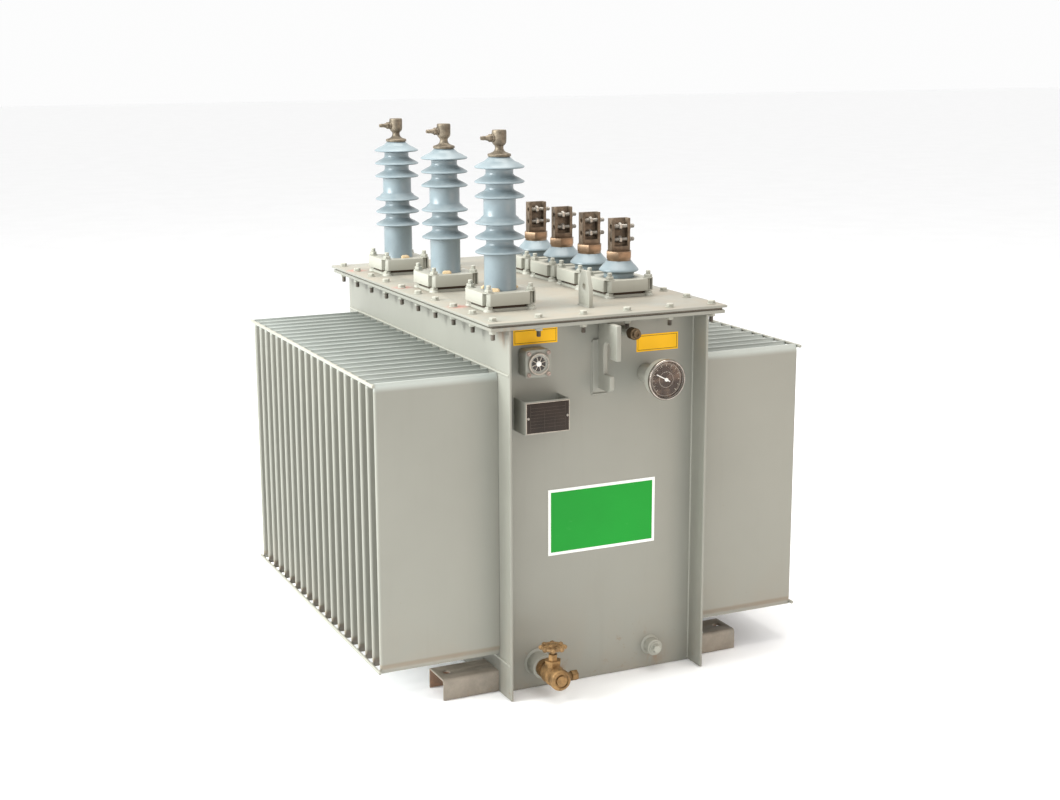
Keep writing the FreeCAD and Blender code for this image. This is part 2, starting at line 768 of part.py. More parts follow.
def lv_flag(name):
    """A clamp channel on edge, open to the front, with two bolt holes through its cheeks."""
    half, deep = "lv_flag_width / 2", "lv_flag_depth / 2"
    owner = body(name)
    profile = sketch(owner, "XY_Plane")
    rectangle(profile, f"-{half}", f"-{deep}", half, deep)
    pad(owner, profile, "lv_flag_height")
    hollow = sketch(owner, "XZ_Plane")
    rectangle(hollow, f"lv_flag_wall - {half}", "lv_flag_base",
              f"{half} - lv_flag_wall", "lv_flag_height")
    channel = pocket(owner, hollow, f"{deep}")
    channel.SideType = "Two sides"
    channel.Reversed = True
    bind(channel, Length=deep, Length2=f"{deep} - lv_flag_wall")
    holes = sketch(owner, "YZ_Plane")
    for level in ("lv_bolt_first", "lv_bolt_first + lv_bolt_spacing"):
        circle(holes, "lv_bolt_radius", "lv_flag_wall / -2", level)
    pocket(owner, holes, "lv_flag_width", symmetric=True)
    return owner


def lv_bushings():
    frames, nuts, flags = [], [], []
    for number in range(4):
        y = f"lv_first + {number} * lv_pitch"
        label = f"lv_bushing_{number + 1}"
        piece(place(lv_porcelain(label), "lv_row", y, COVER_TOP), label)
        frame = clamp_frame(f"lv_clamp_frame_{number + 1}", "lv_stem_radius")
        frames.append(place(frame, "lv_row", y, f"{COVER_TOP} + frame_lift"))
        nut = fuse(f"lv_nut_{number + 1}", [
            cylinder("lv_washer", "lv_washer_radius", "lv_washer_height"),
            hexagon("lv_hexagon", "lv_nut_radius", "lv_nut_height", z="lv_washer_height"),
        ])
        nuts.append(place(nut, "lv_row", y, f"{COVER_TOP} + lv_height"))
        flag = lv_flag(f"lv_flag_{number + 1}")
        seat = f"{COVER_TOP} + lv_height + lv_washer_height + lv_nut_height"
        flags.append(place(flag, "lv_row", y, seat))
    piece(group("lv_clamp_frames", frames), "lv_clamp_frames")
    piece(group("lv_terminal_nuts", nuts), "lv_terminal_nuts")
    piece(group("lv_terminal_flags", flags), "lv_terminal_flags")


# Fittings on the front wall


def level_gauge():
    owner = body("level_gauge")
    half, corner = "gauge_size / 2", "gauge_corner"
    profile = sketch(owner, "XY_Plane")
    inset = f"({half} - {corner})"
    outline(profile, [
        (inset, f"-{half}"), (half, f"-{inset}", inset, f"-{inset}"),
        (half, inset), (inset, half, inset, inset),
        (f"-{inset}", half), (f"-{half}", inset, f"-{inset}", inset),
        (f"-{half}", f"-{inset}"), (f"-{inset}", f"-{half}", f"-{inset}", f"-{inset}"),
    ])
    pad(owner, profile, "gauge_depth")
    piece(place(owner, "gauge_place", FRONT_FACE, "gauge_level", TURN_TO_FRONT), "level_gauge")
    ring = turned("level_gauge_bezel", [
        ("gauge_bezel_radius - gauge_bezel_wall", "0"), ("gauge_bezel_radius", "0"),
        ("gauge_bezel_radius", "gauge_bezel_depth - gauge_bezel_chamfer"),
        ("gauge_bezel_radius - gauge_bezel_chamfer", "gauge_bezel_depth"),
        ("gauge_bezel_radius - gauge_bezel_wall", "gauge_bezel_depth"),
    ])
    face = f"{FRONT_FACE} - gauge_depth"
    piece(place(ring, "gauge_place", face, "gauge_level", TURN_TO_FRONT), "level_gauge_bezel")


def rating_plate():
    """A bent sheet bracket, open above and below, and the plate on its face."""
    owner = body("rating_plate_bracket")
    half, sheet = "rating_width / 2", "rating_sheet"
    profile = sketch(owner, "XY_Plane")
    outline(profile, [
        (f"-{half}", "0"), (f"-{half}", "-rating_reach"), (half, "-rating_reach"), (half, "0"),
        (f"{half} - {sheet}", "0"), (f"{half} - {sheet}", f"{sheet} - rating_reach"),
        (f"{sheet} - {half}", f"{sheet} - rating_reach"), (f"{sheet} - {half}", "0"),
    ])
    pad(owner, profile, "rating_height")
    low = "rating_level - rating_height / 2"
    piece(place(owner, "rating_place", FRONT_FACE, low), "rating_plate_bracket")
    piece(box("rating_plate", "rating_width - 2 * rating_margin", "rating_sheet",
              "rating_height - 2 * rating_margin", f"rating_place - {half} + rating_margin",
              f"{FRONT_FACE} - rating_reach - rating_sheet", f"{low} + rating_margin"), "rating_plate")


def dial_thermometer():
    neck = "dial_boss_length + dial_neck_length"
    face = f"{neck} + dial_case_depth"
    case = turned("thermometer", [
        ("0", "0"), ("dial_boss_radius", "0"), ("dial_boss_radius", "dial_boss_length"),
        ("dial_neck_radius", "dial_boss_length"), ("dial_neck_radius", neck),
        ("dial_case_radius - dial_case_chamfer", neck),
        ("dial_case_radius", f"{neck} + dial_case_chamfer"),
        ("dial_case_radius", face), ("dial_bezel_radius - dial_bezel_wall", face),
        ("dial_bezel_radius - dial_bezel_wall", f"{face} - dial_recess"),
        ("0", f"{face} - dial_recess"),
    ])
    piece(place(case, "dial_place", FRONT_FACE, "dial_level", TURN_TO_FRONT), "thermometer")
    lip = "dial_bezel_depth - dial_bezel_front"
    ring = turned("thermometer_bezel", [
        ("dial_case_radius", f"-({lip})"), ("dial_bezel_radius", f"-({lip})"),
        ("dial_bezel_radius", "dial_bezel_front - dial_bezel_chamfer"),
        ("dial_bezel_radius - dial_bezel_chamfer", "dial_bezel_front"),
        ("dial_bezel_radius - dial_bezel_wall", "dial_bezel_front"),
        ("dial_bezel_radius - dial_bezel_wall", "0"), ("dial_case_radius", "0"),
    ])
    piece(place(ring, "dial_place", f"{FRONT_FACE} - ({face})", "dial_level", TURN_TO_FRONT),
          "thermometer_bezel")


def relief_fitting():
    stub = cylinder("relief_stub", "relief_stub_radius", "relief_stub_length",
                    "relief_place", FRONT_FACE, "relief_level", TURN_TO_FRONT)
    piece(stub, "relief_stub")
    plug = turned("relief_plug", [
        ("0", "0"), ("relief_plug_radius", "0"), ("relief_plug_radius", "relief_plug_length"),
        ("relief_cap_radius", "relief_plug_length"),
        ("relief_cap_radius", "relief_plug_length + relief_cap_length"),
        ("0", "relief_plug_length + relief_cap_length"),
    ])
    seat = f"{FRONT_FACE} - relief_stub_length"
    piece(place(plug, "relief_place", seat, "relief_level", TURN_TO_FRONT), "relief_plug")


def drain_valve():
    """Globe valve on a welded boss, with its outlet cap and a plugged sampling port on its right."""
    boss = cylinder("drain_boss", "drain_boss_radius", "drain_boss_length",
                    "drain_place", FRONT_FACE, "drain_level", TURN_TO_FRONT)
    piece(boss, "drain_valve_boss")
    axis = f"{FRONT_FACE} - drain_stem_reach"
    globe = "drain_stem_reach - drain_boss_length"
    run = "drain_outlet_reach - drain_boss_length"
    shell = turned("drain_shell", [
        ("0", "0"), ("drain_outlet_radius", "0"), ("drain_outlet_radius", "drain_inlet_length"),
        ("drain_neck_radius", "drain_inlet_length"),
        ("drain_neck_radius", "drain_inlet_length + drain_neck_length"),
        ("drain_body_radius", f"{globe} - drain_globe_back"),
        ("drain_body_radius", f"{globe} + drain_globe_front"),
        ("drain_neck_radius", f"{globe} + drain_globe_front + drain_neck_length"),
        ("drain_outlet_radius", f"{run} - drain_outlet_lip"),
        ("drain_outlet_radius", run), ("0", run),
    ])
    place(shell, "0", "drain_stem_reach - drain_boss_length", "0", TURN_TO_FRONT)
    collar_foot = "drain_bonnet_top - drain_collar_height"
    bonnet = cylinder("drain_bonnet", "drain_bonnet_radius", collar_foot)
    collar = hexagon("drain_collar", "drain_collar_radius", "drain_collar_height", z=collar_foot)
    gland = hexagon("drain_gland", "drain_gland_radius", "drain_gland_top - drain_bonnet_top",
                    z="drain_bonnet_top")
    port_y, port_z = "drain_stem_reach - drain_outlet_reach + drain_port_setback", "-drain_port_drop"
    port = cylinder("drain_port", "drain_port_radius", "drain_port_reach", y=port_y, z=port_z,
                    turn=TURN_TO_RIGHT)
    solid = fuse("drain_casting", [shell, bonnet, collar, gland, port])
    well = cylinder("drain_well", "stem_radius + stem_clearance", "stem_depth + overshoot",
                    z="drain_gland_top - stem_depth")
    valve = cut("drain_valve_body", solid, well)
    piece(place(valve, "drain_place", axis, "drain_level"), "drain_valve_body")
    cap = turned("drain_valve_cap", [
        ("0", "0"), ("drain_cap_radius - drain_cap_chamfer", "0"),
        ("drain_cap_radius", "drain_cap_chamfer"),
        ("drain_cap_radius", "drain_cap_length - drain_cap_slope"),
        ("drain_cap_radius - drain_cap_step", "drain_cap_length"),
        ("0", "drain_cap_length"),
    ])
    outlet = f"{FRONT_FACE} - drain_outlet_reach"
    piece(place(cap, "drain_place", outlet, "drain_level", TURN_TO_FRONT), "drain_valve_cap")
    plug = hexagon("drain_port_plug", "drain_port_plug_radius", "drain_port_plug_length",
                   "drain_place + drain_port_reach", f"{axis} + {port_y}",
                   f"drain_level + {port_z}", TURN_TO_RIGHT)
    piece(plug, "drain_port_plug")


def drain_wheel():
    """Scalloped handwheel with its stem, which turns in the gland."""
    hub_foot = "drain_gland_top + wheel_gap"
    stem_foot = "stem_play - wheel_gap - stem_depth"
    owner = turned("drain_wheel_turned", [
        ("0", stem_foot), ("stem_radius", stem_foot),
        ("stem_radius", "-wheel_hub_chamfer"), ("wheel_hub_radius", "0"),
        ("wheel_hub_radius", "(wheel_height - wheel_web) / 2"),
        ("wheel_radius - wheel_rim", "(wheel_height - wheel_web) / 2"),
        ("wheel_radius - wheel_rim", "0"), ("wheel_radius", "0"),
        ("wheel_radius", "wheel_height"), ("wheel_radius - wheel_rim", "wheel_height"),
        ("wheel_radius - wheel_rim", "(wheel_height + wheel_web) / 2"),
        ("wheel_hub_radius", "(wheel_height + wheel_web) / 2"),
        ("wheel_hub_radius", "wheel_height"), ("stem_radius", "wheel_height"),
        ("stem_radius", "wheel_height + stem_proud"), ("0", "wheel_height + stem_proud"),
    ])
    notch = sketch(owner, "XY_Plane")
    circle(notch, "wheel_notch_radius", "wheel_radius + wheel_notch_radius / 3")
    scallop = pocket(owner, notch, "wheel_height", reverse=True)
    ring = owner.newObject("PartDesign::PolarPattern", "drain_wheel_scallops")
    ring.Originals = [scallop]
    ring.Axis = (notch, ["N_Axis"])
    ring.Angle = 360
    bind(ring, Occurrences="wheel_notch_count")
    owner.Tip = ring
    place(owner, "drain_place", f"{FRONT_FACE} - drain_stem_reach", f"drain_level + {hub_foot}")
    piece(owner, "drain_valve_handwheel")


def earthing_boss():
    boss = cylinder("earth_solid", "earth_radius", "earth_length", turn=TURN_TO_FRONT)
    thread = cylinder("earth_thread", "earth_thread_radius", "earth_thread_depth + overshoot",
                      y="earth_thread_depth - earth_length", turn=TURN_TO_FRONT)
    drilled = cut("earthing_boss", boss, thread)
    piece(place(drilled, "earth_place", FRONT_FACE, "earth_level"), "earthing_boss")


def check(items):
    """Every object is computed, and every sub-part has a valid shape."""
    for item in doc.Objects:
        if {"Invalid", "Error"} & set(item.State):
            raise RuntimeError(f"{item.Label}: {item.State}")
    for item in items:
        if item.Shape.isNull() or not item.Shape.isValid() or not item.Shape.Solids:
            raise RuntimeError(f"{item.Label} has no valid shape")


def main():
    make_sheet()
    end_walls()
    side_plates()
    tank_floor()
    skids()
    frame_plate("rim_flange", "rim_width", "side_plate_length", "rim_thickness", "tank_height")
    frame_plate("cover_gasket", "gasket_width", "gasket_length", "gasket_thickness",
                "tank_height + rim_thickness")
    cover()
    fin_banks()
    fin_tie_rods()
    lifting_hooks()
    cover_lugs()
    hv_bushings()
    lv_bushings()
    level_gauge()
    rating_plate()
    dial_thermometer()
    relief_fitting()
    drain_valve()
    drain_wheel()
    earthing_boss()
    doc.recompute()
    check(pieces)
    os.makedirs("parts", exist_ok=True)
    for item in pieces:
        item.Shape.exportStep(f"parts/{item.Label}.step")
        solids = item.Shape.Solids
        print(f"{item.Label}: {len(solids)} solids, {sum(s.Volume for s in solids) / 1000:.1f} cm3")


main()
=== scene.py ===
import math

import bmesh
import bpy
from bpy.props import FloatProperty, FloatVectorProperty, IntProperty, PointerProperty
from mathutils import Euler, Matrix, Vector


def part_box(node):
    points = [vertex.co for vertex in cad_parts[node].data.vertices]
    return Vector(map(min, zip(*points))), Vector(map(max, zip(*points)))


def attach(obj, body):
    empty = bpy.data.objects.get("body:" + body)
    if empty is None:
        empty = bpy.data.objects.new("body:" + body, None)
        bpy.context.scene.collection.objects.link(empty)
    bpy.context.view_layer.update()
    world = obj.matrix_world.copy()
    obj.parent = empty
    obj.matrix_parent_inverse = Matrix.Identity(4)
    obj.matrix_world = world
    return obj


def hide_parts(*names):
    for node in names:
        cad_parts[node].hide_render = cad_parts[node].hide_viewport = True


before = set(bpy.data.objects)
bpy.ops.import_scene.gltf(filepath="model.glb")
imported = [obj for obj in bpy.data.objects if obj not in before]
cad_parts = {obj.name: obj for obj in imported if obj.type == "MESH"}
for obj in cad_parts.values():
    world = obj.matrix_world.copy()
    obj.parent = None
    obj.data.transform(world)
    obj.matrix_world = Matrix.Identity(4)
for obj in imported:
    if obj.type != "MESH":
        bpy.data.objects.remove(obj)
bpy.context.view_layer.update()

bl_info = {
    "name": "Distribution transformer finish",
    "version": (1, 0, 0),
    "blender": (4, 5, 0),
    "location": "3D View > Sidebar > Transformer",
    "description": "Models and finishes the visible pieces of a distribution transformer",
    "category": "Add Mesh",
}

TANK = "transformer"
WHEEL = "handwheel"
FACING_FRONT = Euler((math.pi / 2, 0, 0))  # local +Z turned to -Y
FACING_LEFT = Euler((0, -math.pi / 2, 0))  # local +Z turned to -X
FACING_RIGHT = Euler((0, math.pi / 2, 0))  # local +Z turned to +X
UPRIGHT = Euler((0, 0, 0))
UPSIDE_DOWN = Euler((math.pi, 0, 0))
HALF_TURN = Euler((0, 0, math.pi))
SLOT_TURN = Euler((0, 0, 0.6))
CORNERS = 1.73  # a nut's width over its corners, in thread diameters
MERGED = 2e-6  # points nearer than this are one
FLOOR_LEVEL = -0.0015  # just below the skids, so that no two faces share a plane
FOOT_RADIUS = 0.048  # of every porcelain
FOOT_RISE = 0.0185
HIGH_PLACES = ("front", "middle", "back")
HIGH_NODES = [f"hv_bushing_{place}" for place in HIGH_PLACES]
LOW_NODES = [f"lv_bushing_{number}" for number in range(1, 5)]


# Sizes and colours


def length(name, description, default):
    return FloatProperty(name=name, description=description, default=default, unit="LENGTH")


def count(name, description, default):
    return IntProperty(name=name, description=description, default=default)


def tint(name, description, default):
    return FloatVectorProperty(name=name, description=description, default=default, subtype="COLOR", size=3)


class TransformerSizes(bpy.types.PropertyGroup):
    """Sizes of the pieces that are modelled here"""

    rim_bolt: length("Rim bolt", "Shank diameter", 0.0105)
    rim_bolt_rows: count("Rim bolts along", "Bolts on each long side", 10)
    rim_bolt_columns: count("Rim bolts across", "Bolts on each short side", 6)
    rim_bolt_inset: length("Rim bolt inset", "Cover's end to the bolts", 0.032)
    rim_bolt_side_inset: length("Rim bolt side inset", "Cover's side to the bolts", 0.0245)
    washer: length("Washer", "Thickness under rim bolts and stud nuts", 0.0022)
    stud: length("Clamp stud", "Diameter", 0.012)
    stud_square: length("Stud square", "Between the studs of a clamp frame", 0.106)
    collar_half: length("Collar half width", "Collar under a porcelain", 0.0595)
    collar_rise: length("Collar height", "Collar above the cover", 0.0065)
    fin_count: count("Fins", "Fins on each side", 20)
    fin_thickness: length("Fin", "Thickness over both sheets", 0.012)
    fin_seam: length("Fin seam", "Height of the pressed end seam", 0.005)
    fin_taper: length("Fin taper", "Height between seam and full body", 0.013)
    weld: length("Weld bead", "Radius of a weld bead", 0.003)
    upper_weld: length("Upper weld", "Weld above the fins", 0.7725)
    lower_weld: length("Lower weld", "Weld below the fins", 0.086)


class TransformerColours(bpy.types.PropertyGroup):
    """Base colours of the finishes"""

    paint: tint("Tank paint", "Grey-green enamel", (0.250, 0.249, 0.213))
    dust: tint("Dust", "What settles on level faces", (0.31, 0.26, 0.20))
    rust: tint("Rust", "Rust and rusty dirt", (0.20, 0.085, 0.035))
    glaze: tint("Porcelain", "Blue-grey glaze", (0.180, 0.228, 0.248))
    bronze: tint("Bronze", "High-voltage terminals", (0.205, 0.170, 0.126))
    flag: tint("Dark brass", "Low-voltage flags", (0.175, 0.132, 0.094))
    copper: tint("Copper", "Low-voltage nuts", (0.225, 0.152, 0.098))
    brass: tint("Aged brass", "Drain valve", (0.27, 0.162, 0.068))
    label: tint("Label yellow", "Blank labels", (0.86, 0.47, 0.004))
    panel: tint("Panel green", "Blank panel", (0.001, 0.262, 0.019))


def sizes():
    return bpy.context.scene.transformer_sizes


def shade(colour, factor):
    return tuple(channel * factor for channel in colour)


def chosen_colour(name, factor=1):
    """One of the colours that a user can change, made lighter or darker."""
    return shade(getattr(bpy.context.scene.transformer_colours, name), factor)


# Shader expressions


class Signal:
    """A node's output. Arithmetic on it adds Math nodes to its finish."""

    def __init__(self, finish, socket):
        self.finish = finish
        self.socket = socket

    def math(self, operation, *values):
        return self.finish.node("ShaderNodeMath", {"operation": operation}, dict(enumerate(values)))

    def __add__(self, other):
        return self.math("ADD", self, other)

    def __radd__(self, other):
        return self.math("ADD", other, self)

    def __sub__(self, other):
        return self.math("SUBTRACT", self, other)

    def __rsub__(self, other):
        return self.math("SUBTRACT", other, self)

    def __mul__(self, other):
        return self.math("MULTIPLY", self, other)

    def __rmul__(self, other):
        return self.math("MULTIPLY", other, self)

    def __gt__(self, other):
        return self.math("GREATER_THAN", self, other)

    def __lt__(self, other):
        return self.math("LESS_THAN", self, other)

    def __abs__(self):
        return self.math("ABSOLUTE", self)

    def clamped(self):
        return self.math("MINIMUM", self, 1.0)

    def ramp(self, low, high):
        """0 below low and 1 above high, or the reverse where low is the larger."""
        settings = {"interpolation_type": "SMOOTHSTEP"}
        rising = low < high
        ends = (low, high, 0, 1) if rising else (high, low, 1, 0)
        return self.finish.node("ShaderNodeMapRange", settings, dict(enumerate((self, *ends))))


class Finish:
    """A named material, built from a Principled shader and the nodes that feed it."""

    def __init__(self, name):
        self.material = bpy.data.materials.new(name)
        self.material.use_nodes = True
        self.tree = self.material.node_tree
        self.shader = next(n for n in self.tree.nodes if n.type == "BSDF_PRINCIPLED")
        self.place = self.node("ShaderNodeTexCoord", {}, {}, "Object")
        self.base = None

    def node(self, kind, settings, values, output=0):
        """Adds a node: its settings first, then its sockets' values or links."""
        item = self.tree.nodes.new(kind)
        for name, setting in settings.items():
            setattr(item, name, setting)
        for name, value in values.items():
            if isinstance(value, Signal):
                self.tree.links.new(value.socket, item.inputs[name])
            else:
                item.inputs[name].default_value = value
        return Signal(self, item.outputs[output])

    def tone(self, mask, first, second):
        """Starts the surface's colour, which goes from first to second as the mask goes from 0 to 1."""
        first, second = (c if isinstance(c, Signal) else (*c, 1) for c in (first, second))
        self.base = self.node("ShaderNodeMix", {"data_type": "RGBA"}, {0: mask, 6: first, 7: second}, 2)

    def shades(self, mask, colour, dark, light):
        """Starts the surface's colour with two shades of one colour."""
        self.tone(mask, shade(colour, dark), shade(colour, light))

    def lay(self, mask, colour):
        """Lays a colour over what is there, as far as the mask says."""
        self.tone(mask, self.base, colour)

    def stretched(self, x, y, z):
        return self.node("ShaderNodeMapping", {}, {"Vector": self.place, "Scale": (x, y, z)})

    def noise(self, scale, detail=3.0, roughness=0.55, place=None):
        values = {"Vector": place or self.place, "Scale": scale, "Detail": detail, "Roughness": roughness}
        return self.node("ShaderNodeTexNoise", {}, values)

    def cells(self, scale):
        return self.node("ShaderNodeTexVoronoi", {}, {"Vector": self.place, "Scale": scale})

    def axis(self, name, source=None):
        return self.node("ShaderNodeSeparateXYZ", {}, {"Vector": source or self.place}, name)

    def near(self, centre, radius):
        """1 at a place and 0 beyond a radius about it."""
        values = {0: self.place, 1: centre}
        gap = self.node("ShaderNodeVectorMath", {"operation": "DISTANCE"}, values, "Value")
        return gap.ramp(radius, 0.0)

    def facing(self, name):
        """How much the surface faces +X, +Y or +Z, from -1 to 1."""
        normal = self.node("ShaderNodeNewGeometry", {}, {}, "Normal")
        return self.axis(name, normal)

    def bump(self, height, distance, strength=1.0, under=None):
        values = {"Height": height, "Distance": distance, "Strength": strength}
        if under is not None:
            values["Normal"] = under
        return self.node("ShaderNodeBump", {}, values)

    def brushed_coat(self, wave_scale, wave_height, peel_scale, peel_height):
        """The slow waves of a painted sheet over the fine peel of its enamel."""
        peel = self.bump(self.noise(peel_scale, 2, 0.5), peel_height, 0.45)
        return self.bump(self.noise(wave_scale, 2, 0.4), wave_height, 0.5, peel)

    def wear(self, **values):
        """Sets or links the Principled shader's sockets, named with underscores."""
        if self.base is not None:
            values["Base_Color"] = self.base
        for name, value in values.items():
            socket = self.shader.inputs[name.replace("_", " ")]
            if isinstance(value, Signal):
                self.tree.links.new(value.socket, socket)
            else:
                socket.default_value = (*value, 1) if isinstance(value, tuple) and len(value) == 3 else value
        return self.material


# Finishes


COVER_MARKS = ((-0.280, 0.411, 0.894), (-0.279, 0.060, 0.894), (-0.272, -0.286, 0.894))
MARK_RADIUS = 0.036
# Brown patches low on the front wall, one under the earthing boss, and brown drips under the flange's left
# corner.
WALL_BROWN_PATCHES = (  # centre, radius
    ((0.158, -0.487, 0.030), 0.045),
    ((-0.110, -0.487, 0.020), 0.050),
    ((-0.262, -0.528, 0.866), 0.055),
    ((-0.262, -0.500, 0.872), 0.035),
)
MARK_RED = (0.42, 0.14, 0.11)
PATCH_BROWN = (0.24, 0.15, 0.09)
CREASE_BROWN = (0.20, 0.145, 0.095)
# Colour of the painted shade low in the gaps between the fins.
GAP_SHADE_COLOUR = (0.075, 0.058, 0.040)
# Colour of the painted light along the fins' tops.
TOP_LIGHT_COLOUR = (0.47, 0.51, 0.48)
# Brown-grey of the skids' outside: partly dirty steel, partly painted shade.
STEEL_DIRT_AND_SHADE = (0.245, 0.212, 0.168)
GLAZE_DUST = (0.44, 0.45, 0.43)
PINHOLE = (0.10, 0.09, 0.08)
VERDIGRIS = (0.22, 0.24, 0.17)


def painted(finish, colour, dust, rust, marks=()):
    """Satin enamel over steel: uneven tone, runs, orange peel, dust on level faces, rust and marks."""
    patch = finish.noise(11, 5, 0.65)
    runs = finish.noise(6, 4, 0.6, finish.stretched(9, 9, 0.7))
    finish.shades(finish.noise(2.3, 4, 0.6).ramp(0.3, 0.7), colour, 0.94, 1.05)
    finish.lay(runs.ramp(0.55, 0.8) * 0.35, shade(colour, 0.86))
    settled = finish.facing("Z").ramp(0.45, 0.9) * patch.ramp(0.25, 0.7) * dust
    finish.lay(settled, chosen_colour("dust"))
    speck = finish.cells(85).ramp(0.10, 0.05) * finish.noise(7, 3).ramp(0.52, 0.66)
    stain = finish.noise(26, 6, 0.7).ramp(0.62, 0.78) * finish.noise(4, 2).ramp(0.5, 0.66)
    spoiled = (speck * 0.5 + stain * rust).clamped()
    finish.lay(spoiled, chosen_colour("rust"))
    for centre in marks:
        mark = finish.near(centre, MARK_RADIUS) * finish.noise(95, 4, 0.7).ramp(0.32, 0.52)
        finish.lay(mark * 0.9, MARK_RED)
    rough = 0.40 + patch * 0.14 + settled * 0.3 + spoiled * 0.2
    coat = finish.brushed_coat(9, 0.0012, 420, 0.00012)
    return finish.wear(Roughness=rough, Normal=coat, Specular_IOR_Level=0.45)


def tank_paint(finish, colour):
    """The tank's enamel, with brown weeping low down, painted shade between the fins and painted light along
    their tops.
    """
    height = finish.axis("Z")
    patch = finish.noise(9, 5, 0.65)
    runs = finish.noise(5, 4, 0.6, finish.stretched(8, 8, 0.5))
    finish.shades(finish.noise(1.7, 4, 0.6).ramp(0.3, 0.7), colour, 0.95, 1.04)
    finish.lay(runs.ramp(0.52, 0.85) * 0.30, shade(colour, 0.88))
    splash = height.ramp(0.30, 0.0) * patch.ramp(0.35, 0.75)
    finish.lay(splash * 0.35, chosen_colour("dust"))
    level = finish.facing("Z").ramp(0.5, 0.95) * finish.noise(14, 5, 0.7).ramp(0.3, 0.7)
    finish.lay(level * 0.22, chosen_colour("dust"))
    weep = height.ramp(0.14, 0.06) * finish.noise(32, 6, 0.75).ramp(0.58, 0.74)
    chips = finish.cells(70).ramp(0.08, 0.04) * finish.noise(6, 3).ramp(0.55, 0.66)
    spoiled = (weep * 0.55 + chips * 0.45).clamped()
    finish.lay(spoiled, chosen_colour("rust"))
    drips = finish.noise(60, 5, 0.7, finish.stretched(1, 1, 0.25))
    for centre, radius in WALL_BROWN_PATCHES:
        finish.lay(finish.near(centre, radius) * drips.ramp(0.36, 0.62) * 0.7, PATCH_BROWN)
    bank_low, bank_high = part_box("fin_bank_left")
    plate_low, plate_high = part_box("side_plate_right")
    foot, top = bank_low.z, bank_high.z
    across, along = abs(finish.axis("X")), abs(finish.axis("Y"))
    on_fins = across > plate_high.x + 0.0005
    crease = height.ramp(foot + 0.024, foot + 0.018) * height.ramp(foot + 0.006, foot + 0.013) * on_fins
    finish.lay(crease * (0.35 + patch * 0.4), CREASE_BROWN)
    # Painted shade: low in the gaps between the fins, the faces that look along the bank are darkened.
    between = (along < bank_high.y - 0.013) * on_fins
    hollow = between * height.ramp(foot + 0.030, foot + 0.012) * abs(finish.facing("Y")).ramp(0.5, 0.9)
    finish.lay(hollow * 0.75, GAP_SHADE_COLOUR)
    # Painted light: the fins' tops are lightened and cooled as if lit from above.
    painted_top_light = height.ramp(top - 0.022, top - 0.006) * (height < top + 0.001) * on_fins
    finish.lay(painted_top_light * (0.55 + patch * 0.35), TOP_LIGHT_COLOUR)
    # Painted shade: the side plates are darkened where they lie between the fins, below the fins' tops.
    painted_valley_shade = (across > plate_low.x) * (1 - on_fins) * (along < 0.484)
    finish.lay(painted_valley_shade * height.ramp(top + 0.001, top - 0.001) * 0.5, shade(colour, 0.35))
    rough = 0.38 + patch * 0.16 + splash * 0.15 + spoiled * 0.25
    coat = finish.brushed_coat(5, 0.0020, 380, 0.00014)
    return finish.wear(Roughness=rough, Normal=coat, Specular_IOR_Level=0.45)


def skid_paint(finish, colour):
    """Patchy enamel over brown-grey on the outside of the bent channel, the brown-grey partly painted shade,
    and bare rusty steel inside it.
    """
    brown = chosen_colour("rust")
    low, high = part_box("skid_channel_front")
    half = (high.y - low.y) / 2
    height = finish.axis("Z")
    across = abs(abs(finish.axis("Y")) - abs(low.y + high.y) / 2)
    inside = across.ramp(half - 0.004, half - 0.0055) * height.ramp(high.z - 0.0035, high.z - 0.0045)
    grime = finish.noise(60, 6, 0.75)
    finish.shades(grime.ramp(0.3, 0.7), brown, 0.55, 1.5)
    rusty = finish.base
    patch = finish.noise(16, 5, 0.7)
    # The brown-grey is partly dirty steel and partly painted shade from the fin bank above, warmed by a
    # painted reflection of the floor.
    finish.shades(patch.ramp(0.3, 0.7), STEEL_DIRT_AND_SHADE, 0.85, 1.2)
    finish.lay(finish.noise(5, 4, 0.6).ramp(0.5, 0.72) * 0.5, colour)
    edge = finish.noise(40, 6, 0.75).ramp(0.56, 0.72) * height.ramp(0.03, 0.0)
    finish.lay(edge * 0.6, shade(brown, 1.2))
    finish.lay(inside * (0.7 + grime * 0.3), rusty)
    rough = 0.45 + patch * 0.15 + inside * 0.3
    normal = finish.bump(grime, 0.0006, 0.35, finish.bump(finish.noise(380, 2), 0.00012, 0.4))
    return finish.wear(Roughness=rough, Normal=normal)


def porcelain_glaze(finish, colour):
    """Thick glaze: slow colour drift, pooling, painted shade on the undersides, fine pinholes and a film of
    dust above.
    """
    drift = finish.noise(7, 3, 0.5)
    finish.shades(drift.ramp(0.3, 0.7), colour, 0.90, 1.08)
    finish.lay(finish.noise(160, 3, 0.6).ramp(0.45, 0.8) * 0.25, shade(colour, 0.78))
    dusty = finish.facing("Z").ramp(0.35, 0.95) * finish.noise(28, 5, 0.7).ramp(0.3, 0.75)
    finish.lay(dusty * 0.22, GLAZE_DUST)
    # Painted shade: faces that look down are darkened.
    finish.lay(finish.facing("Z").ramp(-0.3, -0.95) * 0.7, shade(colour, 0.45))
    finish.lay(finish.cells(240).ramp(0.10, 0.04) * 0.35, PINHOLE)
    rough = 0.33 + dusty * 0.25 + drift * 0.08
    normal = finish.bump(finish.noise(45, 2, 0.4), 0.0005, 0.4)
    return finish.wear(Roughness=rough, Normal=normal, Coat_Weight=0.2, Coat_Roughness=0.24)


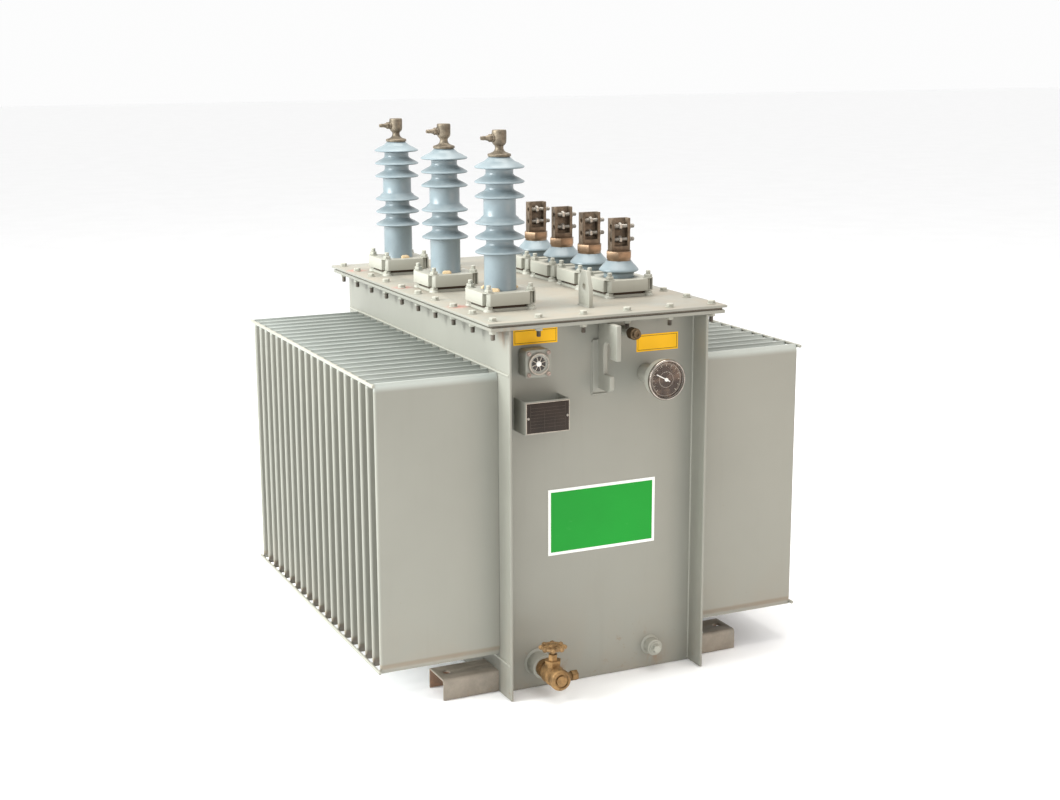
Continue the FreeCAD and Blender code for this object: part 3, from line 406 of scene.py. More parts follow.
def cast_metal(finish, colour, metallic, grain, tarnish, lift=0.00025):
    """A cast or rolled metal: mottled tarnish in the hollows and rubbed high spots."""
    mottle = finish.noise(38, 6, 0.7)
    spots = finish.noise(190, 4, 0.65)
    finish.shades(mottle.ramp(0.3, 0.72), colour, 0.55, 1.35)
    finish.lay(spots.ramp(0.5, 0.75) * tarnish, shade(colour, 0.32))
    green = finish.noise(24, 5, 0.7).ramp(0.62, 0.8) * tarnish
    finish.lay(green * 0.35, VERDIGRIS)
    rough = 0.36 + mottle * 0.28 + spots * 0.12
    normal = finish.bump(finish.noise(grain, 5, 0.65), lift, 0.6)
    return finish.wear(Roughness=rough, Metallic=metallic - green * 0.4, Normal=normal)


def machined(finish, colour, rough=0.28):
    """Turned metal with fine tool marks, a little stain and finger-dulled patches."""
    marks = finish.noise(60, 2, 0.5, finish.stretched(1, 1, 14))
    stain = finish.noise(45, 5, 0.65)
    finish.shades(stain.ramp(0.4, 0.75) * 0.6, colour, 1.15, 0.6)
    finish.lay(marks.ramp(0.45, 0.7) * 0.3, shade(colour, 0.8))
    normal = finish.bump(marks, 0.00008, 0.5)
    return finish.wear(Roughness=rough + stain * 0.25, Metallic=0.95, Normal=normal)


def black_rubber(finish):
    """Cork-rubber gasket: dark, matt and speckled, with dust on its edge."""
    grain = finish.noise(520, 3, 0.7)
    dust = finish.noise(22, 5, 0.7)
    finish.tone(grain.ramp(0.4, 0.7), (0.13, 0.115, 0.092), (0.23, 0.20, 0.165))
    finish.lay(dust.ramp(0.5, 0.75) * 0.35, (0.22, 0.19, 0.15))
    return finish.wear(Roughness=0.72 + dust * 0.15, Normal=finish.bump(grain, 0.0002, 0.6))


def packing_felt(finish):
    """Buff felt packing with darker fibres."""
    fibre = finish.noise(240, 5, 0.75, finish.stretched(1, 1, 5))
    finish.tone(fibre.ramp(0.35, 0.7), (0.40, 0.27, 0.13), (0.72, 0.58, 0.38))
    finish.lay(finish.noise(60, 3).ramp(0.55, 0.8) * 0.5, (0.22, 0.13, 0.06))
    return finish.wear(Roughness=0.9, Normal=finish.bump(fibre, 0.0008, 0.7))


def printed(finish, colour, gloss=0.35):
    """Printed vinyl or flat paint: even colour, faint scuffs, a little dust and a soft ripple."""
    scuff = finish.noise(30, 5, 0.7, finish.stretched(1, 1, 4))
    finish.shades(finish.noise(5, 3).ramp(0.3, 0.7), colour, 0.93, 1.05)
    finish.lay(scuff.ramp(0.62, 0.8) * 0.18, tuple(min(1.0, channel + 0.15) for channel in colour))
    normal = finish.bump(finish.noise(16, 2, 0.4), 0.0004, 0.4)
    return finish.wear(Roughness=gloss + scuff * 0.2, Normal=normal, Specular_IOR_Level=0.25)


def dark_enamel(finish, colour, painted_reflection=0.0):
    """Sheet in a dark enamel with fine bright scratches and, as far as painted_reflection goes, patches of a
    painted brown reflection.
    """
    scratches = finish.noise(18, 6, 0.8, finish.stretched(1, 1, 22))
    cloud = finish.noise(20, 4)
    finish.shades(cloud.ramp(0.3, 0.7), colour, 0.8, 1.3)
    finish.lay(scratches.ramp(0.66, 0.76) * 0.4, (0.35, 0.30, 0.25))
    # Painted reflection: brown patches laid over the dark enamel.
    finish.lay(finish.noise(34, 3, 0.5).ramp(0.48, 0.68) * painted_reflection, (0.30, 0.19, 0.13))
    normal = finish.bump(scratches, 0.00006, 0.4)
    return finish.wear(Roughness=0.42 + cloud * 0.2, Normal=normal, Specular_IOR_Level=0.22)


def clear_glass(finish):
    """Thin instrument glass with a faint greasy film."""
    film = finish.noise(40, 4, 0.6)
    finish.material.surface_render_method = "BLENDED"
    veil = 0.035 + film.ramp(0.45, 0.8) * 0.03
    return finish.wear(Base_Color=(0.45, 0.42, 0.38), Roughness=0.04 + film * 0.06, Alpha=veil, IOR=1.5)


def polished(finish):
    """Polished plate with smudges."""
    smudge = finish.noise(55, 5, 0.65)
    finish.tone(smudge.ramp(0.4, 0.75), (0.38, 0.34, 0.30), (0.18, 0.15, 0.125))
    normal = finish.bump(finish.noise(140, 2), 0.00004, 0.4)
    return finish.wear(Roughness=0.12 + smudge * 0.2, Metallic=1.0, Normal=normal)


# Each finish: its maker, its colour and the maker's other values. A colour is given as it is, or
# as the name of a user's colour and a factor.
RECIPES = {
    "tank_enamel": (tank_paint, ("paint", 1)),
    "skid_enamel": (skid_paint, ("paint", 1)),
    "cover_enamel": (painted, ("paint", 0.98), 0.6, 0.3, COVER_MARKS),
    "casting_enamel": (painted, ("paint", 1.42), 0.3, 0.12),
    "boss_enamel": (painted, ("paint", 1.3), 0.2, 0.08),
    "gauge_enamel": (painted, ("paint", 0.92), 0.15, 0.5),
    "hook_enamel": (painted, ("paint", 1), 0.2, 0.1),
    "rod_enamel": (painted, ("paint", 1.25), 0.3, 0.1),
    "bolt_enamel": (painted, ("paint", 1.42), 0.2, 0.4),
    "porcelain_glaze": (porcelain_glaze, ("glaze", 1)),
    "terminal_bronze": (cast_metal, ("bronze", 1), 0.8, 160, 0.45),
    "flag_brass": (cast_metal, ("flag", 1), 0.8, 90, 0.5),
    "valve_brass": (cast_metal, ("brass", 1), 0.75, 70, 0.6, 0.0006),
    "wheel_brass": (cast_metal, ("brass", 0.95), 0.5, 90, 0.5, 0.0004),
    "relief_brass": (cast_metal, (0.15, 0.105, 0.062), 0.8, 110, 0.5),
    "rim_zinc": (cast_metal, (0.125, 0.108, 0.088), 0.35, 200, 0.4),
    "screw_steel": (cast_metal, (0.42, 0.33, 0.28), 0.55, 200, 0.3),
    "nut_copper": (machined, ("copper", 1)),
    "bright_steel": (machined, (0.33, 0.305, 0.27), 0.34),
    "plate_rim": (machined, (0.40, 0.36, 0.31), 0.4),
    "bezel_chrome": (polished,),
    "gauge_glass": (clear_glass,),
    "gasket_rubber": (black_rubber,),
    "packing_felt": (packing_felt,),
    # Dark brown of the packing rings, partly painted shade under the clamp frames.
    "packing_dark": (printed, (0.085, 0.060, 0.044), 0.8),
    "dial_marks": (printed, (0.75, 0.74, 0.70), 0.5),
    "dial_ticks": (printed, (0.40, 0.35, 0.29), 0.5),
    "dial_needle": (printed, (0.85, 0.83, 0.78), 0.4),
    "plate_line": (printed, (0.085, 0.066, 0.052), 0.5),
    "label_yellow": (printed, ("label", 1)),
    "label_black": (printed, (0.02, 0.018, 0.015)),
    "panel_green": (printed, ("panel", 1)),
    "panel_white": (printed, (0.80, 0.81, 0.78)),
    "dial_black": (dark_enamel, (0.012, 0.011, 0.011)),
    # The thermometer's dial carries a painted brown reflection.
    "dial_brown": (dark_enamel, (0.028, 0.015, 0.010), 0.35),
    "plate_brown": (dark_enamel, (0.022, 0.015, 0.011)),
}
FINISHES = {}


def finish_named(name):
    """Each finish is made once, when the first piece asks for it."""
    if name not in FINISHES:
        maker, *values = RECIPES[name]
        if values and isinstance(values[0][0], str):
            values[0] = chosen_colour(*values[0])
        FINISHES[name] = maker(Finish(name), *values)
    return FINISHES[name]


# Modelling


def pick(*chosen):
    bpy.ops.object.select_all(action="DESELECT")
    for piece in chosen:
        piece.select_set(True)
    if chosen:
        bpy.context.view_layer.objects.active = chosen[-1]


def named(name):
    piece = bpy.context.object
    piece.name = piece.data.name = name
    return piece


def settle(piece):
    """Moves the object's place, turn and scale into its mesh."""
    pick(piece)
    bpy.ops.object.transform_apply(location=True, rotation=True, scale=True)
    return piece


def put(piece, at, turn=UPRIGHT):
    piece.location, piece.rotation_euler = at, turn
    return settle(piece)


def smooth(piece, angle=35):
    pick(piece)
    bpy.ops.object.shade_smooth_by_angle(angle=math.radians(angle))
    return piece


def rounded(piece, width, segments=2):
    """Rounds the edges that are sharper than 30 degrees."""
    pick(piece)
    bevel = piece.modifiers.new("round", "BEVEL")
    bevel.width, bevel.segments = width, segments
    bevel.limit_method, bevel.angle_limit = "ANGLE", math.radians(30)
    bpy.ops.object.modifier_apply(modifier=bevel.name)
    return smooth(piece)


def block(name, low, high, edge=0.0, segments=2):
    """A bar between two corners, with rounded edges."""
    pick()
    low, high = Vector(low), Vector(high)
    bpy.ops.mesh.primitive_cube_add(size=1, location=(low + high) / 2, scale=high - low)
    piece = settle(named(name))
    return rounded(piece, edge, segments) if edge else piece


def choose(piece, kind, test):
    """Selects the faces or edges of the mesh in edit mode that pass a test."""
    bpy.ops.mesh.select_mode(type=kind)
    bpy.ops.mesh.select_all(action="DESELECT")
    mesh = bmesh.from_edit_mesh(piece.data)
    for item in mesh.faces if kind == "FACE" else mesh.edges:
        if test(item):
            item.select_set(True)
    mesh.select_flush_mode()
    bmesh.update_edit_mesh(piece.data)


def turned(name, profile, sides=48, sharp=35):
    """Spins a profile of (radius, height) pairs about Z."""
    pick()
    bpy.ops.mesh.primitive_plane_add(size=0.001)
    piece = named(name)
    bpy.ops.object.mode_set(mode="EDIT")
    bpy.ops.mesh.select_mode(type="VERT")
    bpy.ops.mesh.select_all(action="SELECT")
    bpy.ops.mesh.merge(type="CENTER")
    bpy.ops.transform.translate(value=(profile[0][0], 0, profile[0][1]))
    for before, after in zip(profile, profile[1:]):
        step = (after[0] - before[0], 0, after[1] - before[1])
        bpy.ops.mesh.extrude_region_move(TRANSFORM_OT_translate={"value": step})
    bpy.ops.mesh.select_all(action="SELECT")
    bpy.ops.mesh.spin(steps=sides, angle=2 * math.pi, center=(0, 0, 0), axis=(0, 0, 1))
    bpy.ops.mesh.select_all(action="SELECT")
    bpy.ops.mesh.remove_doubles(threshold=MERGED)
    bpy.ops.mesh.normals_make_consistent(inside=False)
    bpy.ops.object.mode_set(mode="OBJECT")
    return smooth(piece, sharp)


def joined(name, *parts):
    pick(*parts)
    if len(parts) > 1:
        bpy.ops.object.join()
    return named(name)


def repeated(name, original, places):
    """Copies a piece to each place, a point with or without a turn, and joins the copies."""
    copies = []
    for place in places:
        at, turn = place if len(place) == 2 else (place, UPRIGHT)
        copy = original.copy()
        copy.data = original.data.copy()
        bpy.context.scene.collection.objects.link(copy)
        copy.location, copy.rotation_euler = at, turn
        copies.append(copy)
    bpy.data.objects.remove(original)
    pick(*copies)
    bpy.ops.object.transform_apply(location=True, rotation=True, scale=True)
    return joined(name, *copies)


def softened(node, width, finish, segments=2):
    """A copy of a CAD node with its edges rounded, which stands for the node."""
    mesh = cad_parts[node].data.copy()
    piece = bpy.data.objects.new(node + "_finished", mesh)
    bpy.context.scene.collection.objects.link(piece)
    pick(piece)
    bpy.ops.object.mode_set(mode="EDIT")
    bpy.ops.mesh.select_all(action="SELECT")
    bpy.ops.mesh.remove_doubles(threshold=MERGED)
    bpy.ops.mesh.dissolve_limited(angle_limit=math.radians(0.4))
    bpy.ops.object.mode_set(mode="OBJECT")
    rounded(piece, width, segments)
    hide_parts(node)
    return dressed(piece, finish)


def dressed(piece, finish, body=TANK):
    """Gives a piece its finish and slot and makes it ride on a body."""
    piece.data.materials.clear()
    piece.data.materials.append(finish_named(finish))
    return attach(piece, body)


def fitted(piece, at, finish, node=None, turn=FACING_FRONT, body=TANK):
    """Puts a piece in its place, where it can stand for a node, and dresses it."""
    put(piece, at, turn)
    if node:
        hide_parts(node)
    return dressed(piece, finish, body)


def refinished(node, finish):
    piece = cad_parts[node]
    for socket in piece.material_slots:
        socket.material = finish_named(finish)


def carved(piece, cutter):
    """Cuts one piece out of another."""
    cut = piece.modifiers.new("cut", "BOOLEAN")
    cut.object, cut.solver = cutter, "EXACT"
    pick(piece)
    bpy.ops.object.modifier_apply(modifier=cut.name)
    bpy.data.objects.remove(cutter)
    return piece


def raised(piece, rise):
    piece.data.transform(Matrix.Translation((0, 0, rise)))
    return piece


def upright(edge):
    return abs(edge.verts[0].co.z - edge.verts[1].co.z) > 0.001


def spread(first, last, count):
    """Numbers at equal steps, both ends counted."""
    return [first + (last - first) * number / (count - 1) for number in range(count)]


def whole_turn(count, start=0.0):
    return [start + 2 * math.pi * number / count for number in range(count)]


def about_axis(angles):
    return [(Vector((0, 0, 0)), Euler((0, 0, angle))) for angle in angles]


def middle(node):
    low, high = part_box(node)
    return (low + high) / 2


def front_of(node):
    """The middle of a node's front side."""
    at = middle(node)
    at.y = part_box(node)[0].y
    return at


def back_of(node):
    at = middle(node)
    at.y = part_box(node)[1].y
    return at


def border(left, right, bottom, top, line):
    """The four bars of a frame, each as left, right, bottom and top."""
    return [
        (left, right, bottom, bottom + line), (left, right, top - line, top),
        (left, left + line, bottom, top), (right - line, right, bottom, top),
    ]


def upright_bar(outline, front, back, edge=0.0001, name="bar"):
    """A flat block with an outline of left, right, bottom and top, between two depths."""
    left, right, bottom, top = outline
    return block(name, (left, front, bottom), (right, back, top), edge, 1)


def bead(start, end, radius):
    """A rippled weld bead along a line, sunk to its middle."""
    start, end = Vector(start), Vector(end)
    run = end - start
    ripples = max(3, int(run.length / 0.006))
    profile = [(0, 0)]
    for number in range(ripples):
        foot = run.length * number / ripples
        swell = 0.92 + 0.08 * math.sin(number * 2.4)
        profile += [
            (radius * 0.78 * swell, foot + run.length * 0.08 / ripples),
            (radius * swell, foot + run.length * 0.55 / ripples),
        ]
    profile.append((0, run.length))
    return put(turned("bead", profile, 8, 60), start, run.to_track_quat("Z", "Y").to_euler())


def thread(radius, foot, top, pitch=0.00175):
    """Profile points of a screw thread between two heights."""
    points = []
    for number in range(int((top - foot) / pitch)):
        low = foot + number * pitch
        points += [(radius, low + 0.25 * pitch), (radius * 0.88, low + 0.75 * pitch)]
    return points


def nut(across, height, foot=0.0):
    """A six-sided nut with turned chamfers. across is over the corners."""
    radius = across / 2
    top, edge, rise = foot + height, radius * 0.88, height * 0.14
    profile = [(0, foot), (edge, foot), (radius, foot + rise), (radius, top - rise), (edge, top), (0, top)]
    return turned("nut", profile, 6, 20)


def washer(radius, thickness, foot=0.0):
    edge, top = thickness * 0.25, foot + thickness
    flat = radius - edge
    profile = [(0, foot), (flat, foot), (radius, foot + edge), (radius, top - edge), (flat, top), (0, top)]
    return turned("washer", profile, 20)


def rod(radius, foot, top):
    """A threaded rod with a chamfered end."""
    end = top - radius * 0.3
    profile = [(0, foot), *thread(radius, foot, end), (radius, end), (radius * 0.75, top), (0, top)]
    return turned("rod", profile, 12)


# Tank


class TRANSFORMER_OT_tank(bpy.types.Operator):
    """Finishes the tank's walls, side plates, floor and weld seams"""

    bl_idname = "transformer.tank"
    bl_label = "Tank"

    def execute(self, context):
        for node in ("front_wall", "back_wall", "tank_bottom"):
            refinished(node, "tank_enamel")
        for node in ("side_plate_left", "side_plate_right"):
            softened(node, 0.0016, "tank_enamel")
        s = sizes()
        low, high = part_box("front_wall")
        ends = (low.y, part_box("back_wall")[1].y)
        beads = [
            bead((x, y, low.z + 0.004), (x, y, high.z - 0.002), s.weld) for x in (low.x, high.x) for y in ends
        ]
        beads += [bead((low.x + 0.004, y, high.z), (high.x - 0.004, y, high.z), s.weld) for y in ends]
        left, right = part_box("side_plate_left"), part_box("side_plate_right")
        near, far = left[0].y + 0.002, left[1].y - 0.002
        for x in (left[0].x, right[1].x):
            for z in (s.upper_weld, s.lower_weld):
                beads.append(bead((x, near, z), (x, far, z), s.weld * 1.25))
        dressed(joined("tank_weld_seams", *beads), "rod_enamel")
        return {"FINISHED"}


class TRANSFORMER_OT_cover(bpy.types.Operator):
    """Finishes the rim, gasket and cover, and bolts them together"""

    bl_idname = "transformer.cover"
    bl_label = "Cover and rim bolts"

    def execute(self, context):
        softened("rim_flange", 0.0012, "tank_enamel")
        softened("cover_gasket", 0.0012, "gasket_rubber")
        softened("cover", 0.0014, "cover_enamel")
        s = sizes()
        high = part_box("cover")[1]
        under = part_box("rim_flange")[0].z
        across, head = s.rim_bolt * CORNERS, s.rim_bolt * 0.62
        bolt = joined("bolt", washer(s.rim_bolt, s.washer), nut(across, head, s.washer))
        below = joined("nut", washer(s.rim_bolt, s.washer), nut(across, head * 1.25, s.washer))
        stem = rod(s.rim_bolt / 2, 0.008, s.rim_bolt * 2.3)
        right, far = high.x - s.rim_bolt_side_inset, high.y - s.rim_bolt_inset
        spots = [(x, y) for x in (-right, right) for y in spread(-far, far, s.rim_bolt_rows)]
        spots += [(x, y) for x in spread(-right, right, s.rim_bolt_columns)[1:-1] for y in (-far, far)]
        turns = [0.37 * number * number for number in range(len(spots))]
        heads = [(Vector((x, y, high.z)), Euler((0, 0, turn))) for (x, y), turn in zip(spots, turns)]
        ends = [(Vector((x, y, under)), Euler((math.pi, 0, turn))) for (x, y), turn in zip(spots, turns)]
        dressed(repeated("rim_bolts", bolt, heads), "bolt_enamel")
        dressed(repeated("rim_nuts", below, ends), "bolt_enamel")
        dressed(repeated("rim_bolt_ends", stem, ends), "rim_zinc")
        return {"FINISHED"}


class TRANSFORMER_OT_skids(bpy.types.Operator):
    """Finishes the two skid channels"""

    bl_idname = "transformer.skids"
    bl_label = "Skids"

    def execute(self, context):
        for node in ("skid_channel_front", "skid_channel_back"):
            softened(node, 0.0008, "skid_enamel")
        return {"FINISHED"}


class TRANSFORMER_OT_fins(bpy.types.Operator):
    """Models the pressed cooling fins and the rods along their edges"""

    bl_idname = "transformer.fins"
    bl_label = "Cooling fins"

    def execute(self, context):
        for node, turn in (("fin_bank_right", UPRIGHT), ("fin_bank_left", HALF_TURN)):
            low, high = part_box(node)
            root = low.x if turn is UPRIGHT else high.x
            places = [(Vector((root, y, low.z)), turn) for y in self.rows(low, high)]
            bank = repeated(node + "_pressed", self.fin(high.x - low.x, high.z - low.z), places)
            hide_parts(node)
            dressed(bank, "tank_enamel")
        self.rods()
        return {"FINISHED"}

    def rows(self, low, high):
        half = sizes().fin_thickness / 2
        return spread(low.y + half, high.y - half, sizes().fin_count)

    def fin(self, depth, height):
        """A flat bag of two sheets, pressed together along both ends and folded at its outer edge."""
        s = sizes()
        half, seam, taper = s.fin_thickness / 2, s.fin_seam, s.fin_taper
        foot, top = seam + taper, height - seam - taper
        piece = block("fin", (0, -half, foot), (depth, half, top))
        bpy.ops.object.mode_set(mode="EDIT")
        choose(piece, "EDGE", lambda edge: upright(edge) and edge.verts[0].co.x > depth - 0.001)
        bpy.ops.mesh.bevel(offset=half * 0.96, segments=8)
        steps = ((taper / 2, 0.66, 0.999), (taper / 2, 0.48, 0.998), (seam, 1.0, 1.002))
        for side, level in ((1, top), (-1, foot)):
            choose(piece, "FACE", lambda face: face.normal.z * side > 0.9)
            for rise, thin, short in steps:
                level += side * rise
                bpy.ops.mesh.extrude_region_move(TRANSFORM_OT_translate={"value": (0, 0, side * rise)})
                bpy.ops.transform.resize(value=(short, thin, 1), center_override=(0, 0, level))
        bpy.ops.object.mode_set(mode="OBJECT")
        return smooth(piece, 14)

    def rods(self):
        """Two rods along the outer edge of each bank, tacked to every fin above and below."""
        low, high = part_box("fin_tie_rods")
        bank_low, bank_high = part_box("fin_bank_right")
        radius = (high.x - bank_high.x) / 2
        run = high.y - low.y
        bar = [(0, 0), (radius * 0.8, 0), (radius, radius * 0.3)]
        bar += [(radius, run - radius * 0.3), (radius * 0.8, run), (0, run)]
        lines = [
            (x, z) for x in (low.x + radius, high.x - radius) for z in (low.z + radius, high.z - radius)
        ]
        places = [(Vector((x, high.y, z)), FACING_FRONT) for x, z in lines]
        bars = repeated("bars", turned("bar", bar, 14), places)
        dome = [(1.15, 0), (1.05, 0.35), (0.6, 0.62), (0, 0.7)]
        tack = turned("tack", [(radius * out, radius * up) for out, up in dome], 8, 60)
        places = []
        for x, z in lines:
            inward = -radius * 0.55 if x > 0 else radius * 0.55
            for y in self.rows(bank_low, bank_high):
                places.append((Vector((x + inward, y, z + radius * 0.45)), UPRIGHT))
                places.append((Vector((x + inward, y, z - radius * 0.45)), UPSIDE_DOWN))
        piece = joined("fin_tie_rods_welded", bars, repeated("tacks", tack, places))
        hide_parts("fin_tie_rods")
        dressed(piece, "rod_enamel")


class TRANSFORMER_OT_lifting(bpy.types.Operator):
    """Finishes the lifting hooks and cover lugs and welds them on"""

    bl_idname = "transformer.lifting"
    bl_label = "Lifting hooks and lugs"

    def execute(self, context):
        weld = sizes().weld
        beads = []
        for node, wall in (("lifting_hook_front", "front_wall"), ("lifting_hook_back", "back_wall")):
            softened(node, 0.0018, "hook_enamel", segments=3)
            low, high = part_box(node)
            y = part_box(wall)[0].y if wall == "front_wall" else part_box(wall)[1].y
            side, top, foot = max(-low.x, high.x), high.z - 0.047, low.z - 0.006
            for x in (-side, side):
                beads.append(bead((x, y, foot + 0.002), (x, y, top), weld))
            beads.append(bead((-side, y, foot), (side, y, foot), weld))
        for node in ("cover_lug_front", "cover_lug_back"):
            softened(node, 0.0014, "casting_enamel")
            low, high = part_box(node)
            for x in (low.x, high.x):
                beads.append(bead((x, low.y - 0.002, low.z), (x, high.y + 0.002, low.z), weld * 1.3))
        dressed(joined("lifting_welds", *beads), "hook_enamel")
        return {"FINISHED"}


# Bushings


def on_cover(node):
    """The point of a bushing's axis that is level with the cover's top."""
    at = middle(node)
    at.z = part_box("cover")[1].z
    return at


def foot_profile(spigot, stem):
    """The hidden spigot and foot that both porcelains share, from the cover's top."""
    return [
        (0, -0.024), (spigot, -0.024), (spigot, 0), (FOOT_RADIUS - 0.0005, 0), (FOOT_RADIUS, 0.001),
        (FOOT_RADIUS, FOOT_RISE - 0.001), (FOOT_RADIUS - 0.001, FOOT_RISE),
        (stem + 0.001, FOOT_RISE), (stem, FOOT_RISE + 0.0015),
    ]


def shed(level, below, above, radius):
    """A rain shed: flat underside, rounded drip edge and hollow upper slope."""
    lip = radius - 0.0025
    return [
        (below, level - 0.0075), (below + 0.0012, level - 0.0052), (below + 0.0040, level - 0.0040),
        (lip - 0.004, level - 0.0030), (lip, level - 0.0026), (radius - 0.0006, level - 0.0016),
        (radius, level), (radius - 0.0008, level + 0.0016), (lip, level + 0.0028),
        (lip - 0.0045, level + 0.0052), (lip - 0.0100, level + 0.0085),
        (above + 0.0060, level + 0.0120), (above + 0.0022, level + 0.0145), (above, level + 0.0180),
    ]


class TRANSFORMER_OT_high_voltage(bpy.types.Operator):
    """Models the three high-voltage porcelains and their clamp terminals"""

    bl_idname = "transformer.high_voltage"
    bl_label = "High-voltage bushings"

    def execute(self, context):
        for place in HIGH_PLACES:
            node = f"hv_bushing_{place}"
            at = on_cover(node)
            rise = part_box(node)[1].z - at.z
            porcelain = turned(node + "_glazed", self.porcelain(rise), 72)
            fitted(porcelain, at, "porcelain_glaze", node, UPRIGHT)
            self.terminal(f"hv_terminal_{place}", at + Vector((0, 0, rise)))
        return {"FINISHED"}

    def porcelain(self, top):
        """Six sheds in two groups of three on a stem, which is thinner between the sheds of a group."""
        stem, core, neck, reach = 0.0375, 0.032, 0.031, 0.058
        level, pitch, gap = 0.1305, 0.0338, 0.0605
        profile = foot_profile(0.026, stem)
        for below, above, step in (
            (stem, core, pitch), (core, core, pitch), (core, stem, gap),
            (stem, core, pitch), (core, core, pitch), (core, neck, pitch),
        ):
            profile += shed(level, below, above, reach)
            level += step
        return profile[:-1] + [(0.0270, top - 0.0035), (0.0240, top - 0.0010), (0.0225, top), (0, top)]

    def terminal(self, node, at):
        """A cast clamp head, bored from above, with its pinch bolt to the left."""
        bolt_level = 0.042
        body = turned("clamp", [
            (0, 0), (0.0262, 0), (0.0270, 0.0008), (0.0270, 0.0050), (0.0262, 0.0060), (0.0205, 0.0078),
            (0.0150, 0.0100), (0.0115, 0.0135), (0.0098, 0.0180), (0.0098, 0.0220), (0.0112, 0.0248),
            (0.0140, 0.0272), (0.0160, 0.0305), (0.0168, 0.0350), (0.0170, 0.0550), (0.0166, 0.0585),
            (0.0155, 0.0600), (0.0074, 0.0600), (0.0070, 0.0595), (0.0070, 0.0340), (0, 0.0340),
        ], 40)
        seat = [(0, 0.013), (0.0098, 0.013), (0.0098, 0.0185), (0.0088, 0.0192), (0, 0.0192)]
        collar = turned("collar", seat, 24)
        shank = turned("shank", [
            (0, 0.026), (0.0072, 0.026), (0.0060, 0.0300), (0.0052, 0.0330), (0.0050, 0.0335),
            *thread(0.0050, 0.034, 0.0440), (0.0042, 0.0460), (0, 0.0460),
        ], 20)
        bolt = joined("pinch", collar, nut(0.0180, 0.0078, 0.0192), shank)
        put(bolt, (0, 0, bolt_level), FACING_LEFT)
        head = joined(node + "_cast", body, bolt)
        fitted(head, at, "terminal_bronze", node, UPRIGHT)


class TRANSFORMER_OT_low_voltage(bpy.types.Operator):
    """Models the four low-voltage porcelains, their nuts, flags and bolts"""

    bl_idname = "transformer.low_voltage"
    bl_label = "Low-voltage bushings"

    def execute(self, context):
        profile = foot_profile(0.030, 0.037) + [
            (0.0370, 0.0505), (0.0378, 0.0533), (0.0405, 0.0556), (0.0456, 0.0571), (0.0478, 0.0580),
            (0.0487, 0.0600), (0.0482, 0.0622), (0.0463, 0.0644), (0.0414, 0.0703), (0.0364, 0.0753),
            (0.0322, 0.0805), (0.0300, 0.0832), (0, 0.0832),
        ]
        for node in LOW_NODES:
            porcelain = turned(node + "_glazed", profile, 64)
            fitted(porcelain, on_cover(node), "porcelain_glaze", node, UPRIGHT)
        softened("lv_terminal_nuts", 0.0016, "nut_copper")
        softened("lv_terminal_flags", 0.0009, "flag_brass")
        low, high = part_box("lv_terminal_flags")
        half = (high.x - low.x) / 2
        shank = rod(0.0052, 0.007 - half, half + 0.0135)
        bolt = joined("flag_bolt", shank, nut(0.0185, 0.0075, -0.004), washer(0.0092, 0.0016, half))
        put(bolt, (0, 0, 0), FACING_RIGHT)
        axes = [middle(node) for node in LOW_NODES]
        spots = [Vector((at.x, at.y - 0.0035, low.z + rise)) for at in axes for rise in (0.028, 0.060)]
        dressed(repeated("lv_flag_bolts", bolt, spots), "bright_steel")
        return {"FINISHED"}


class TRANSFORMER_OT_collars(bpy.types.Operator):
    """Models the welded collars under the porcelains, whose lighter enamel is painted light, and the packing
    rings on them, whose dark brown is partly painted shade
    """

    bl_idname = "transformer.collars"
    bl_label = "Bushing collars"

    def execute(self, context):
        s = sizes()
        places = [on_cover(node) for node in HIGH_NODES + LOW_NODES]
        frame_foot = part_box("hv_clamp_frames")[0].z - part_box("cover")[1].z
        collar = self.pad("collar", s.collar_half, 0, s.collar_rise)
        # The collars wear the lighter casting enamel as painted light, so that their shaded sides look as
        # bright as the cover's top.
        dressed(repeated("bushing_collars", collar, places), "casting_enamel")
        # The rings' dark brown is partly packing and partly painted shade in the gap under the clamp frames.
        ring = self.pad("ring", s.collar_half - 0.006, s.collar_rise, frame_foot)
        dressed(repeated("bushing_packing_rings", ring, places), "packing_dark")
        return {"FINISHED"}

    def pad(self, name, half, bottom, top):
        """A square with cut corners, bored for the porcelain's foot."""
        piece = block(name, (-half, -half, bottom), (half, half, top))
        bpy.ops.object.mode_set(mode="EDIT")
        choose(piece, "EDGE", upright)
        bpy.ops.mesh.bevel(offset=half * 0.42, segments=4)
        bpy.ops.object.mode_set(mode="OBJECT")
        bore, low, high = FOOT_RADIUS + 0.0002, bottom - 0.001, top + 0.001
        cutter = turned("bore", [(0, low), (bore, low), (bore, high), (0, high)], 56, 50)
        return smooth(carved(piece, cutter), 30)


